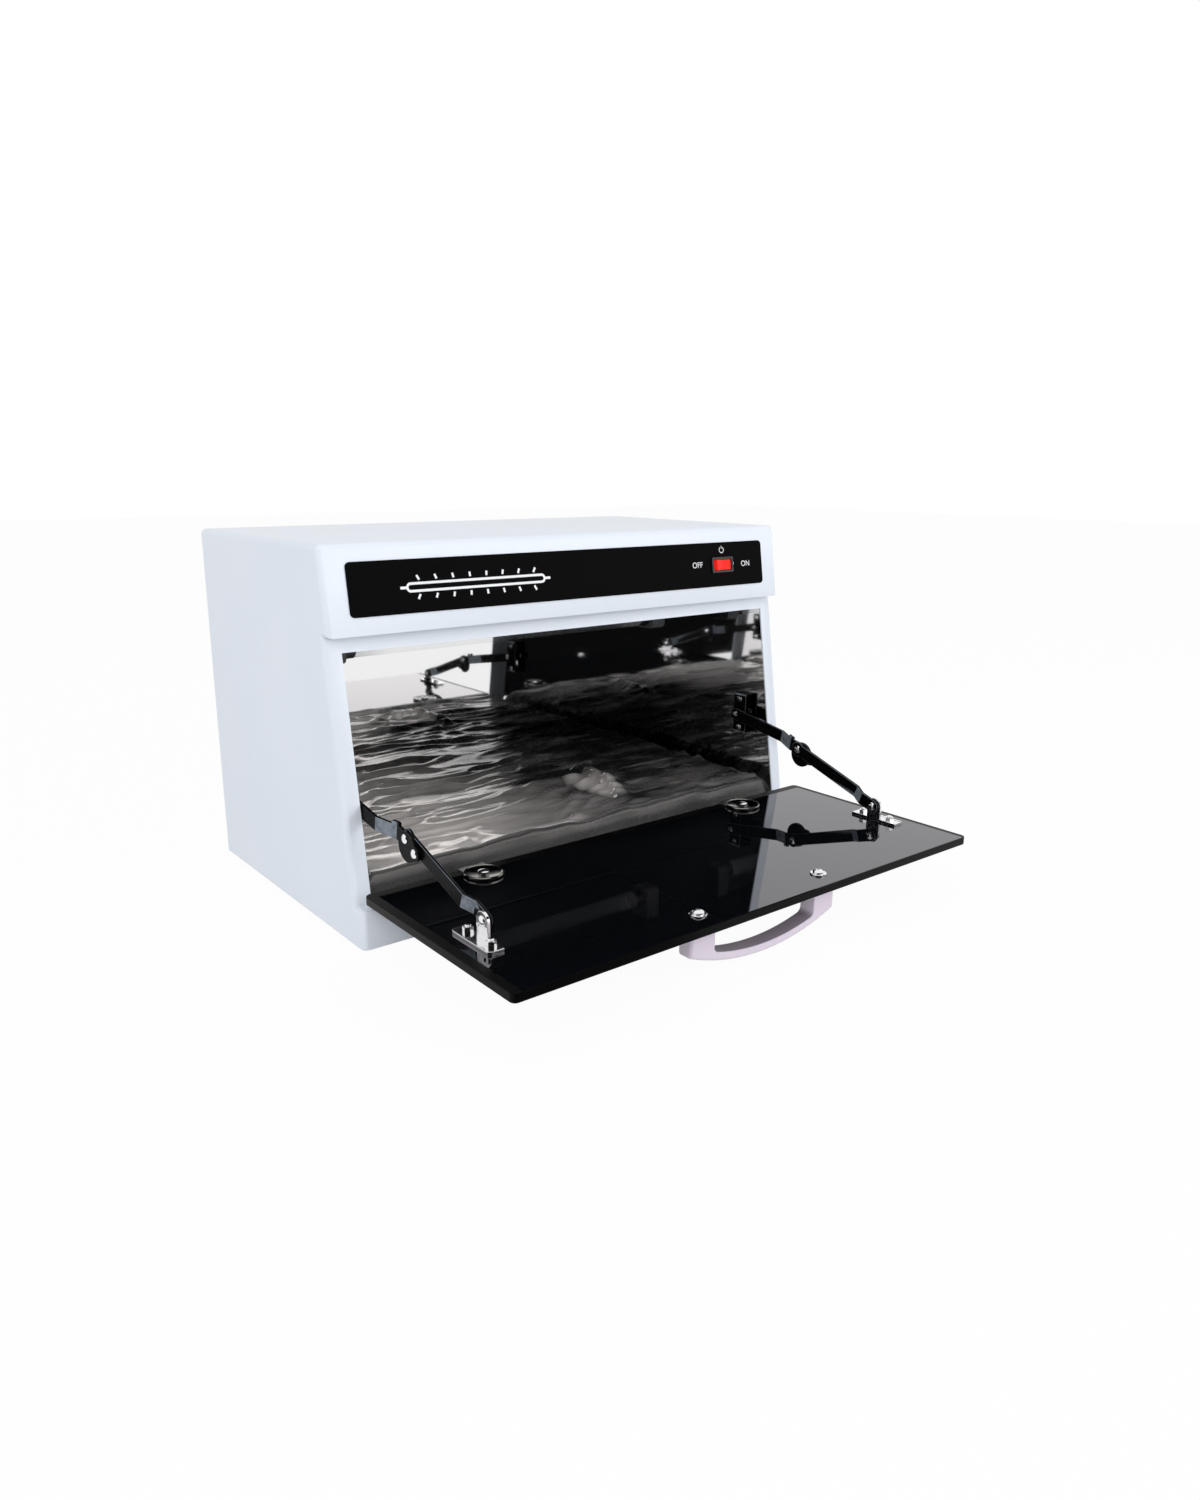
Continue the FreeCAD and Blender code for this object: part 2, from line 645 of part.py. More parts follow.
keep(group("foot_screw_set", screws(
    "foot_screw", [(x, y, foot_recess) for x, y, z in foot_spots], DOWN, small_head, small_dome,
    small_shank, foot_height + steel)), "foot_screws")

# Two channels carry the liner's floor
rails = []
for i, x in enumerate((rail_across, -rail_across)):
    rail_low, rail_top = foot_height + steel, ledge_z - liner_sheet
    rail = box("rail_%d" % i, (x - rail_width / 2, frame_y + past * 2, rail_low),
               (rail_width, plate_depth - past * 6, rail_top - rail_low))
    trough = box("rail_trough_%d" % i, (x - rail_width / 2 + steel, frame_y, rail_low),
                 (rail_width - steel * 2, plate_depth + past, rail_top - rail_low - steel))
    rails.append(cut("floor_rail_%d" % i, rail, [trough]))
keep(group("floor_rail_set", rails), "floor_rails")

# Back panel with a row of vents and the cut-out for the mains inlet
panel = rounded("panel_round", box(
    "panel_block", (fit - half_width, back_y - steel, foot_height),
    (cabinet_width - fit * 2, steel, cabinet_height - fit)), corner_radius.number,
    lambda edge: along(edge, "y") and near(edge.Vertexes[0].Point.z, top_z.number - fit.number))
slots = [box("vent_%d_%d" % (i, j), (x - vent_length / 2, back_y - past,
                                     roof_z + fold_height + vent_pitch * j),
             (vent_length, past * 2, vent_height))
         for i, x in enumerate((-vent_across, none, vent_across)) for j in range(3)]
inlet_hole = box("inlet_hole", (inlet_x - inlet_width / 2 - fit, back_y - past,
                                inlet_z - inlet_height / 2 - fit),
                 (inlet_width + fit * 2, past * 2, inlet_height + fit * 2))
keep(cut("panel_body", panel, slots + [inlet_hole] + holes(
    "panel_hole", rear_spots, BACKWARD, small_shank + fit / 2, steel * 2)), "back_panel")
keep(group("panel_screw_set", screws("panel_screw", rear_spots, BACKWARD, small_head, small_dome,
                                     small_shank, steel * 2 + fit / 2)), "back_panel_screws")

# Mains inlet: a snap-in socket and its three flat pins
flange = box("inlet_flange", (inlet_x - inlet_width / 2 - inlet_rim * 2, back_y,
                              inlet_z - inlet_height / 2 - inlet_rim),
             (inlet_width + inlet_rim * 4, inlet_rim, inlet_height + inlet_rim * 2))
barrel = box("inlet_barrel", (inlet_x - inlet_width / 2, back_y - inlet_depth,
                              inlet_z - inlet_height / 2),
             (inlet_width, inlet_depth, inlet_height))
well = box("inlet_well", (inlet_x - inlet_width / 2 + inlet_wall,
                          back_y - inlet_depth + inlet_wall,
                          inlet_z - inlet_height / 2 + inlet_wall),
           (inlet_width - inlet_wall * 2, inlet_depth + past, inlet_height - inlet_wall * 2))
keep(cut("inlet_body", chamfered("inlet_outside", fuse("inlet_block", [flange, barrel]), 1.5,
                                 lambda edge: along(edge, "y")), [well]), "inlet_socket")
keep(group("inlet_pin_set", [
    box("inlet_pin_%d" % i, (inlet_x + pin_pitch * i - pin_sheet / 2,
                             back_y - inlet_depth + inlet_wall,
                             inlet_z - pin_width / 2 + (pin_width if i == 0 else -pin_width) / 2),
        (pin_sheet, inlet_depth - inlet_wall * 2, pin_width)) for i in (-1, 0, 1)]), "inlet_pins")

# Liner: floor, back and ceiling in one polished sheet, and a sheet on each side


def behind_frame(z):
    """Where the liner may start at a height, just behind the leaning frame."""
    return frame_y + (z - ledge_z) * tangent(front_slope) + steel / cosine(front_slope) + liner_start


floor_under = ledge_z - liner_sheet
liner_rear = liner_back_y + liner_sheet
wrap = side_profile("wrap", [
    (behind_frame(ledge_z), floor_under), (liner_rear, floor_under), (liner_rear, roof_z),
    (behind_frame(roof_z), roof_z), (behind_frame(roof_z), ceiling_z),
    (liner_back_y, ceiling_z), (liner_back_y, ledge_z), (behind_frame(ledge_z), ledge_z),
], liner_half)
wrap = rounded("wrap_inner_bend", wrap, liner_bend.number, lambda edge: along(edge, "x") and
               lies_at(edge, y=liner_back_y.number))
wrap = rounded("wrap_outer_bend", wrap, liner_bend.number + liner_sheet.number,
               lambda edge: along(edge, "x") and lies_at(edge, y=liner_rear.number))

# Ballast, starter and terminals stand on the ceiling, in the compartment behind the fascia
ballast_spots = [(x, ballast_y + ballast_width / 2, roof_z + steel) for x in
                 (-(ballast_length + ballast_foot) / 2, (ballast_length + ballast_foot) / 2)]
keep(cut("wrap_body", wrap, holes("wrap_hole", ballast_spots, UP, small_shank + fit / 2,
                                  steel * 3)), "liner_wrap")
ballast_base = box("ballast_base", (-ballast_length / 2 - ballast_foot, ballast_y, roof_z),
                   (ballast_length + ballast_foot * 2, ballast_width, steel))
ballast_core = rounded("ballast_core", box(
    "ballast_block", (-ballast_length / 2, ballast_y, roof_z),
    (ballast_length, ballast_width, ballast_height)), 2,
    lambda edge: along(edge, "x") and lies_at(edge, z=(roof_z + ballast_height).number))
keep(cut("ballast_body", fuse("ballast_whole", [ballast_base, ballast_core]),
         holes("ballast_hole", ballast_spots, UP, small_shank + fit / 2, steel * 2)), "ballast")
keep(group("ballast_screw_set", screws("ballast_screw", ballast_spots, UP, small_head, small_dome,
                                       small_shank, steel * 3)), "ballast_screws")

starter_x = ballast_length / 2 + ballast_foot + past
starter_z = roof_z + socket_width / 2
keep(box("starter_socket_body", (starter_x + starter_length, ballast_y, roof_z),
         (socket_length, socket_width, socket_width)), "starter_socket")
keep(prism("starter_can", (starter_x, ballast_y + socket_width / 2, starter_z),
           starter_radius, starter_length, 20, ALONG_X), "starter")
terminal_y = ballast_y + ballast_width + past
terminal_wells = [prism("terminal_well_%d" % i, (
    starter_x + terminal_length * (2 * i + 1) / 8, terminal_y + terminal_width / 2,
    roof_z + terminal_height / 2), terminal_well, terminal_height, 6) for i in range(4)]
keep(cut("terminal_body", box("terminal_block_box", (starter_x, terminal_y, roof_z),
                              (terminal_length, terminal_width, terminal_height)),
         terminal_wells), "terminal_block")

# Germicidal tube in two holders under the ceiling, with a reflector over it
tube_y = sill_y + lamp_setback
tube_z = ceiling_z - lamp_drop
tube_half = tube_length / 2
keep(cylinder("tube", (cap_length - tube_half, tube_y, tube_z), tube_radius,
              tube_length - cap_length * 2, ALONG_X), "uv_lamp_tube")
left_cap = fuse("lamp_cap", [
    cylinder("cap_can", (-tube_half, tube_y, tube_z), cap_radius, cap_length, ALONG_X),
    prism("cap_pin_low", (-tube_half - cap_pin_length, tube_y, tube_z - cap_pin_gap), cap_pin,
          cap_pin_length + 1, 8, ALONG_X),
    prism("cap_pin_high", (-tube_half - cap_pin_length, tube_y, tube_z + cap_pin_gap), cap_pin,
          cap_pin_length + 1, 8, ALONG_X)])
keep(group("lamp_caps", [left_cap, mirrored("lamp_cap_right", left_cap)]), "lamp_end_caps")
holder_x = -tube_half - fit - holder_width
holder = rounded("holder_round", box(
    "holder_block", (holder_x, tube_y - holder_depth / 2, tube_z - holder_below),
    (holder_width, holder_depth, lamp_drop + holder_below)), 5,
    lambda edge: along(edge, "x") and lies_at(edge, z=(tube_z - holder_below).number))
holder_slot = box("holder_slot", (holder_x + holder_width / 4, tube_y - cap_pin - fit,
                                  tube_z - holder_below - past),
                  (holder_width, cap_pin * 2 + fit * 2,
                   holder_below + past + cap_pin_gap + cap_pin + fit))
on_both_sides(cut("holder_body", holder, [holder_slot]), "lamp_holder")
wing_slip = liner_sheet * 0.8
keep(side_profile("reflector", [
    (tube_y - reflector_wing, ceiling_z - reflector_drop), (tube_y - reflector_flat, ceiling_z),
    (tube_y + reflector_flat, ceiling_z), (tube_y + reflector_wing, ceiling_z - reflector_drop),
    (tube_y + reflector_wing - liner_sheet, ceiling_z - reflector_drop),
    (tube_y + reflector_flat - wing_slip, ceiling_z - liner_sheet),
    (tube_y - reflector_flat + wing_slip, ceiling_z - liner_sheet),
    (tube_y - reflector_wing + liner_sheet, ceiling_z - reflector_drop),
], tube_half - past), "lamp_reflector")

# Label strip and rocker switch on the fascia
label_up = label_margin + label_height / 2
label = rounded("label_round", leaning_box("label_block", 0, label_up, label_sheet, label_width,
                                           label_height, label_sheet), label_radius.number,
                lambda edge: near(edge.Length, label_sheet.number))
label_hole = leaning_box("label_hole", switch_x, switch_up, past, rocker_width + steel * 2,
                         rocker_height + steel * 2, past * 2)
keep(cut("label_body", label, [label_hole]), "label_strip")
bezel = rounded("bezel_round", leaning_box(
    "bezel", switch_x, switch_up, label_sheet + switch_rim, switch_width, switch_height,
    switch_rim), 1, lambda edge: near(edge.Length, switch_rim.number))
housing = leaning_box("housing", switch_x, switch_up, label_sheet, rocker_width + steel * 1.6,
                      rocker_height + steel * 1.6, switch_body)
switch_well = leaning_box("switch_well", switch_x, switch_up, past,
                          rocker_width + rocker_play * 2, rocker_height + rocker_play * 2,
                          past + rocker_depth * 2.6)
rocker_axis = (switch_x,
               fascia_y + switch_up * sine(front_slope) + rocker_depth * cosine(front_slope),
               fascia_z + switch_up * cosine(front_slope) - rocker_depth * sine(front_slope))
trunnion_bore = group("trunnion_bore_placed", [cylinder(
    "trunnion_bore", (0, 0, -switch_height / 2), rocker_pivot + 0.05, switch_height)])
put(trunnion_bore, rocker_axis, Rotation(Vector(1, 0, 0), -front_slope.number))
keep(cut("switch_body_solid", fuse("switch_block", [bezel, housing]),
         [switch_well, trunnion_bore]), "switch_housing")
half_rocker = rocker_width / 2
rocker_front = rocker_rise + rocker_depth
tip_half = half_rocker - rocker_front * tangent(rocker_tilt)
pivot_half = rocker_height / 2 + steel * 0.8
rocker_shape = extrude("rocker_shape", outline("rocker_outline", [
    (-tip_half, -rocker_front), (0, half_rocker * tangent(rocker_tilt) - rocker_front),
    (tip_half, -rocker_front), (half_rocker, 1 - rocker_depth),
    (half_rocker / 3, rocker_depth / 2), (-half_rocker / 3, rocker_depth / 2),
    (-half_rocker, 1 - rocker_depth)]), rocker_height / 2, rocker_height / 2)
rocker_whole = fuse("rocker_whole", [rocker_shape, cylinder(
    "rocker_trunnion", (0, 0, -pivot_half), rocker_pivot, pivot_half * 2)])
rocker_turned = Rotation(Vector(1, 0, 0), -front_slope.number).multiply(
    Rotation(Vector(0, 0, 1), rocker_tilt.number))
rocker = group("rocker_placed", [rocker_whole])
put(rocker, rocker_axis, rocker_turned)
keep(rocker, "switch_rocker")

# Tray on the floor, and the clear film drawn over it
film_gap = fit
tray_body = doc.addObject("PartDesign::Body", "tray_design")
tray_pad = tray_body.newObject("PartDesign::Pad", "tray_pad")
tray_pad.Profile = outline("tray_outline", [
    (-tray_width / 2, tray_y), (tray_width / 2, tray_y), (tray_width / 2, tray_y + tray_depth),
    (-tray_width / 2, tray_y + tray_depth)], FLAT, (0, 0, ledge_z), tray_body)
bind(tray_pad, "Length", tray_height)
doc.recompute()
tray_round = tray_body.newObject("PartDesign::Fillet", "tray_round")
tray_round.Base = (tray_pad, ["Edge%d" % (i + 1) for i, edge in enumerate(tray_pad.Shape.Edges)
                              if along(edge, "z")])
bind(tray_round, "Radius", tray_corner)
doc.recompute()
tray_shell = tray_body.newObject("PartDesign::Thickness", "tray_shell")
tray_shell.Base = (tray_round, ["Face%d" % (i + 1) for i, face in enumerate(
    tray_round.Shape.Faces) if near(face.CenterOfMass.z, (ledge_z + tray_height).number)])
tray_shell.Reversed = True
bind(tray_shell, "Value", tray_sheet)
keep(tray_body, "tray")


def film_block(name, spread, rise):
    """A rounded block around the tray, larger by a spread."""
    block = box(name, (-tray_width / 2 - spread, tray_y - spread, ledge_z),
                (tray_width + spread * 2, tray_depth + spread * 2, tray_height + rise))
    return rounded(name + "_round", block, tray_corner.number, lambda edge: along(edge, "z"))


keep(cut("film_body", film_block("film_outer", film_gap + film_sheet, film_gap + film_sheet),
         [film_block("film_inner", film_gap, film_gap)]), "tray_film")

# Door: black glass, bevelled along both sides, with holes for its fittings
stay_y = edge_y - stay_door_along
stay_z = door_z + stay_door_rise
door_half = door_width / 2
cup_y = edge_y - cup_setback
grip_y = door_end_y + handle_setback
cup_spots = left_and_right([(hinge_across, cup_y, door_z)])
grip_spots = left_and_right([(handle_spacing / 2, grip_y, door_z)])
bolt_spots = left_and_right([(half_width - bolt_inset, stay_y + bolt_gap * k, door_z)
                             for k in (-1, 1)])
door_body = doc.addObject("PartDesign::Body", "door_design")
door_pad = door_body.newObject("PartDesign::Pad", "door_pad")
door_pad.Profile = outline("door_outline", [
    (-door_half, door_end_y), (door_half, door_end_y), (door_half, edge_y),
    (-door_half, edge_y)], FLAT, (0, 0, door_under_z), door_body)
bind(door_pad, "Length", door_glass)
doc.recompute()
door_round = door_body.newObject("PartDesign::Fillet", "door_round")
door_round.Base = (door_pad, ["Edge%d" % (i + 1) for i, edge in enumerate(door_pad.Shape.Edges)
                              if along(edge, "z")])
bind(door_round, "Radius", door_radius)
doc.recompute()
door_arris = door_body.newObject("PartDesign::Chamfer", "door_arris")
door_arris.Base = (door_round, ["Edge%d" % (i + 1) for i, edge in enumerate(
    door_round.Shape.Edges) if along(edge, "x") and near(edge.Vertexes[0].Point.y,
                                                         door_end_y.number)])
bind(door_arris, "Size", arris)


def bevel(name, side):
    """The wedge ground off one long edge of the inner face."""
    edge_x = door_half * side
    return extrude(name, outline(name + "_outline", [
        (edge_x - door_bevel * side, door_z), (edge_x + past * side, door_z),
        (edge_x + past * side, door_z - bevel_depth - bevel_depth * past / door_bevel)],
        UPRIGHT_FRONT), cabinet_depth * 2, cabinet_depth)


keep(cut("door_solid", door_body, [bevel("bevel_left", -1), bevel("bevel_right", 1)]
         + [prism("cup_hole_%d" % i, (x, y, door_under_z - past), cup_hole_radius,
                  door_glass + past * 2, 32) for i, (x, y, z) in enumerate(cup_spots)]
         + holes("grip_hole", grip_spots, UP, bolt_radius + fit, door_glass * 1.5)
         + holes("bolt_hole", bolt_spots, UP, bolt_radius + fit, door_glass * 1.5)),
     "door_panel")

# Bow handle under the door, with its screws and washers
bow_drop = handle_drop - handle_shoulder
handle_half = handle_spacing / 2 + handle_end
bow_radius = (handle_half * handle_half + bow_drop * bow_drop) / (bow_drop * 2)
bow_z = door_under_z - handle_drop + bow_radius


def bow(name, half, radius, width, top):
    """The part of a cylinder below the glass that lies between two upright planes."""
    slab = box(name + "_slab", (-half, grip_y - width / 2, bow_z - radius - past),
               (half * 2, width, top - bow_z + radius + past))
    drum = cylinder(name + "_drum", (0, grip_y - width / 2, bow_z), radius, width, ALONG_Y)
    return common(name, [slab, drum])


handle_outer = chamfered("handle_eased", bow("handle_outer", handle_half, bow_radius,
                                             handle_width, door_under_z), handle_ease.number,
                         lambda edge: not along(edge, "y") and not lies_at(
                             edge, z=door_under_z.number))
handle_inner = rounded("handle_throat", bow(
    "handle_inner", handle_half - handle_foot, bow_radius - handle_grip, handle_width + past,
    door_under_z + past), 4, lambda edge: along(edge, "y") and edge.Vertexes[0].Point.z
    < door_under_z.number)
keep(cut("handle_solid", handle_outer, [handle_inner] + holes(
    "handle_hole", [(x, y, door_under_z) for x, y, z in grip_spots], UP, bolt_radius + fit / 2,
    handle_thread)), "handle")
washers = [cut("washer_%d" % i, prism("washer_disc_%d" % i, spot, washer_radius, washer_sheet, 20),
               holes("washer_bore_%d" % i, [spot], UP, bolt_radius + fit, washer_sheet * 3))
           for i, spot in enumerate(grip_spots)]
keep(group("washer_set", washers), "handle_washers")
keep(group("handle_screw_set", screws(
    "handle_screw", [(x, y, door_z + washer_sheet) for x, y, z in grip_spots], UP, grip_head,
    rivet_dome * 1.5, bolt_radius, washer_sheet + door_glass + handle_thread - 1, 12)),
    "handle_screws")

# Hinges, left ones first; the right ones mirror them
hinge_x = -hinge_across
bore = pin_radius + 0.05
side_knuckle = (leaf_width - knuckle_length) / 2 - leaf_play


def knuckle(name, start, length):
    return prism(name, (start, pin_y, pin_z), knuckle_radius, length, 16, ALONG_X)


leaf_start = hinge_x - leaf_width / 2
webs = [box("knuckle_web_%d" % i, (x, pin_y - knuckle_radius / 2, ledge_z),
            (side_knuckle, knuckle_radius, hinge_rise))
        for i, x in enumerate((leaf_start, hinge_x + leaf_width / 2 - side_knuckle))]
base_leaf = box("base_leaf", (leaf_start, sill_y + fit, ledge_z),
                (leaf_width, base_leaf_length, leaf_sheet))
pin_hole = cylinder("pin_hole", (leaf_start - past, pin_y, pin_z), bore, leaf_width + past * 2,
                    ALONG_X)
on_both_sides(cut("hinge_base_body", fuse("hinge_base_block", [
    base_leaf, knuckle("fixed_knuckle_0", leaf_start, side_knuckle),
    knuckle("fixed_knuckle_1", hinge_x + leaf_width / 2 - side_knuckle, side_knuckle)] + webs),
    [pin_hole] + holes("leaf_screw_hole", [(-x, y, z) for x, y, z in leaf_spots[:2]], UP,
                       small_shank + fit / 2, steel * 2)), "hinge_base")
keep(group("leaf_screw_set", screws(
    "leaf_screw", leaf_spots, UP, leaf_head, leaf_head_height, small_shank, steel * 3)), "hinge_base_screws")
on_both_sides(cylinder("hinge_pin", (leaf_start - fit, pin_y, pin_z), pin_radius,
                         leaf_width + fit * 2, ALONG_X), "hinge_pin")

crank_y = edge_y + 0.2
crank_foot = box("crank_foot", (hinge_x - knuckle_length / 2 + leaf_play, crank_y, pin_z),
                 (knuckle_length - leaf_play * 2, leaf_sheet, door_z + leaf_sheet - pin_z))
crank = box("crank", (leaf_start, crank_y, pin_z + knuckle_radius + fit * 2),
            (leaf_width, leaf_sheet, door_z + leaf_sheet - pin_z - knuckle_radius - fit * 2))
tongue = box("tongue", (leaf_start, cup_y, door_z), (leaf_width, crank_y + leaf_sheet - cup_y,
                                                     leaf_sheet))
tongue_end = prism("tongue_end", (hinge_x, cup_y, door_z), leaf_width / 2, leaf_sheet, 32)
on_both_sides(cut("hinge_leaf_body", fuse("hinge_leaf_block", [
    crank_foot, crank, tongue, tongue_end,
    knuckle("moving_knuckle", hinge_x - knuckle_length / 2 + leaf_play,
            knuckle_length - leaf_play * 2)]),
    [pin_hole] + holes("leaf_cup_hole", [(hinge_x, cup_y, door_z)], UP, cup_screw_radius + fit,
                       leaf_sheet * 3)), "hinge_leaf")

# Each cup clamps the leaf to the glass, with a disc on the other face
cup_z = door_z + leaf_sheet
cup_top = prism("cup_disc", (hinge_x, cup_y, cup_z), cup_radius, cup_flange, 32)
dish = prism("cup_dish_cut", (hinge_x, cup_y, cup_z + cup_flange - cup_dish),
             cup_radius - cup_rim, cup_dish * 2, 32)
cup_bore = prism("cup_bore", (hinge_x, cup_y, door_under_z - past * 3), cup_screw_radius + fit,
                 door_glass * 4, 6)
on_both_sides(cut("hinge_cup_body", cup_top, [dish, cup_bore]), "hinge_cup")
backing = cut("backing", fuse("backing_block", [
    prism("backing_disc", (hinge_x, cup_y, door_under_z - cup_flange), cup_radius, cup_flange, 32),
    prism("backing_plug", (hinge_x, cup_y, door_under_z - cup_flange),
          cup_hole_radius - fit, cup_flange + door_glass - fit, 16)]), [cup_bore])
keep(group("backing_set", [backing, mirrored("backing_right", backing)]), "hinge_backings")
keep(group("cup_screw_set", screws(
    "cup_screw", [(x, y, cup_z + cup_flange - cup_dish) for x, y, z in cup_spots], UP, cup_head,
    cup_head_height, cup_screw_radius, door_glass, 12)), "hinge_cup_screws")

# Stays: two flat arms on each side, joggled past one another
wall_y = sill_y + stay_wall_y
wall_z = foot_height + stay_wall_z
elbow_y = sill_y - stay_elbow_y
elbow_z = foot_height + stay_elbow_z
pivot_hole = rivet_radius + 0.05
lower_side = stay_elbow_side + stay_sheet + stay_play


def arm(name, start_y, start_z, end_y, end_z, low_side, high_side, bend_at, bend_over, outlines,
        bores):
    """A flat arm from one pivot to another, cut from a joggled strip.

    Local X runs from pivot to pivot, local Y up across the arm and local Z to the middle.
    """
    length = root((end_y - start_y) * (end_y - start_y) + (end_z - start_z) * (end_z - start_z))
    reach = length + arm_blank
    bend_end = bend_at + bend_over
    strip = extrude(name + "_strip", outline(name + "_section", [
        (-arm_blank, low_side), (bend_at, low_side), (bend_end, high_side), (reach, high_side),
        (reach, high_side + stay_sheet), (bend_end, high_side + stay_sheet),
        (bend_at, low_side + stay_sheet), (-arm_blank, low_side + stay_sheet)], UPRIGHT_FRONT),
        arm_blank, arm_blank)
    flat = fuse(name + "_flat", outlines(length))
    drilled = cut(name + "_drilled", common(name + "_blank", [strip, flat]), [
        cylinder("%s_bore_%d" % (name, i), (u, v, 0), pivot_hole, half_width) if turns else
        prism("%s_bore_%d" % (name, i), (u, v, 0), pivot_hole / cosine(as_size(180 / 8)), half_width, 8)
        for i, (u, v, turns) in enumerate(bores(length))])
    angle = math.degrees(math.atan2((end_z - start_z).number, (end_y - start_y).number))
    turn = Rotation(Vector(1, 0, 0), angle).multiply(UPRIGHT_SIDE)
    placed = group(name + "_placed", [drilled])
    put(placed, (-half_width, start_y, start_z), turn)
    return placed


def bar(name, start, end, width):
    return box(name, (start, -width / 2, 0), (end - start, width, half_width))


def upper_outline(length):
    return [bar("upper_bar", none, length, stay_width),
            prism("upper_end", (length, 0, 0), stay_width / 2, half_width, 24),
            prism("upper_plate", (-stay_disc_ahead, -stay_disc_below, 0), stay_disc, half_width,
                  32),
            prism("upper_lobe", (-stop_ahead, -stop_below, 0), stop_lobe, half_width, 24),
            box("upper_tab", (tab_along, 0, 0), (tab_length, stay_width / 2 + tab_rise,
                                                half_width))]


def lower_outline(length):
    return [bar("lower_bar", none, length, stay_width),
            prism("lower_end", (0, 0, 0), stay_width / 2, half_width, 24),
            prism("lower_head", (length, 0, 0), stay_width / 2 + head_swell, half_width, 24)]


on_both_sides(arm("upper", elbow_y, elbow_z, wall_y, wall_z, stay_elbow_side, stay_wall_side,
                  joggle_start, joggle, upper_outline,
                  lambda length: [(none, none, False), (length, none, True),
                                  (-stop_ahead, -stop_below, False)]), "stay_upper_arm")
on_both_sides(arm("lower", stay_y, stay_z, elbow_y, elbow_z, stay_door_side, lower_side,
                  low_joggle_start, low_joggle, lower_outline,
                  lambda length: [(none, none, True), (length, none, False)]),
              "stay_lower_arm")


def rivet(name, d_from, d_to, y, z, outer_head, inner_head):
    """A rivet across a stay, with a dome at either end where one is wanted."""
    start, end = d_from - half_width, d_to - half_width
    parts = [prism(name + "_shank", (start, y, z), rivet_radius, end - start, 8, ALONG_X)]
    if inner_head:
        parts.append(button(name + "_inner_head", (end, y, z), rivet_head, rivet_dome, ALONG_X))
    if outer_head:
        parts.append(button(name + "_outer_head", (start, y, z), rivet_head, rivet_dome,
                          Rotation(Vector(0, 1, 0), -90)))
    return fuse(name, parts)


# The elbow's rivet is made in two halves, one for each arm, and the stop rivet is on the plate
elbow_split = stay_elbow_side + stay_sheet
high_run_y, high_run_z = wall_y - elbow_y, wall_z - elbow_z
high_length = root(high_run_y * high_run_y + high_run_z * high_run_z)
stop_y = elbow_y - (high_run_y * stop_ahead - high_run_z * stop_below) / high_length
stop_z = elbow_z - (high_run_z * stop_ahead + high_run_y * stop_below) / high_length
on_both_sides(group("elbow_rivet_set", [
    rivet("elbow_rivet", stay_elbow_side, elbow_split, elbow_y, elbow_z, True, False),
    rivet("stop_rivet", stay_elbow_side, elbow_split, stop_y, stop_z, True, False),
]), "stay_elbow_rivets")
on_both_sides(rivet("elbow_stud", lower_side, lower_side + stay_sheet, elbow_y, elbow_z, False,
                    True), "stay_elbow_stud")

# Wall bracket: a hat-shaped strip on the liner's side, its web standing clear of the wall
bracket_half = bracket_screw_gap + 4.5
hat_low, hat_high = wall_z - bracket_half, wall_z + bracket_half
wall_d = steel + liner_gap + liner_sheet
web_in = bracket_web + bracket_sheet
wall_spots = [(web_in - half_width, wall_y, wall_z + bracket_screw_gap * k) for k in (-1, 1)]
hat = extrude("hat", outline("hat_outline", [
    (wall_d, hat_low), (web_in, hat_low), (web_in, hat_high), (wall_d, hat_high),
    (wall_d, hat_high - bracket_sheet), (bracket_web, hat_high - bracket_sheet),
    (bracket_web, hat_low + bracket_sheet), (wall_d, hat_low + bracket_sheet)],
    UPRIGHT_FRONT, (-half_width, wall_y, 0)), bracket_width / 2, bracket_width / 2)
on_both_sides(cut("wall_bracket_body", rounded(
    "hat_bent", hat, bracket_sheet.number, lambda edge: along(edge, "y") and
    lies_at(edge, x=(web_in - half_width).number)),
    holes("bracket_hole", wall_spots, INWARD, small_shank + fit / 2, bracket_sheet * 2)
    + [cylinder("bracket_pivot_hole", (-half_width, wall_y, wall_z), pivot_hole, web_in,
                ALONG_X)]), "stay_wall_bracket")
left_wall_screws = screws("wall_screw", wall_spots, INWARD, small_head, small_dome, small_shank,
                          web_in - wall_d + liner_sheet, 12)
keep(group("wall_screw_set", left_wall_screws + [
    mirrored("wall_screw_right_%d" % i, screw) for i, screw in enumerate(left_wall_screws)]),
    "stay_wall_screws")
shoulder = prism("wall_shoulder", (web_in - half_width, wall_y, wall_z), rivet_head,
                 stay_wall_side - web_in - fit / 2, 12, ALONG_X)
wall_stem = prism("wall_stem", (bracket_web - half_width - 1, wall_y, wall_z), rivet_radius,
                  stay_wall_side + stay_sheet - bracket_web + 1 + fit / 2, 8, ALONG_X)
wall_head = button("wall_head", (stay_wall_side + stay_sheet + fit / 2 - half_width, wall_y,
                               wall_z), rivet_head, rivet_dome, ALONG_X)
left_wall_rivet = fuse("wall_rivet", [shoulder, wall_stem, wall_head])
keep(group("wall_rivet_set", [left_wall_rivet, mirrored("wall_rivet_right", left_wall_rivet)]),
     "stay_wall_rivets")
side_sheet = extrude("side_sheet", outline("side_outline", [
    (behind_frame(floor_under), floor_under), (liner_rear, floor_under), (liner_rear, roof_z),
    (behind_frame(roof_z), roof_z)], UPRIGHT_SIDE, (-liner_half - liner_sheet, 0, 0)),
    liner_sheet)
on_both_sides(cut("side_sheet_body", side_sheet, holes(
    "side_hole", [(wall_d - half_width, y, z) for x, y, z in wall_spots], INWARD,
    small_shank + fit / 2, liner_sheet * 2)), "liner_side")

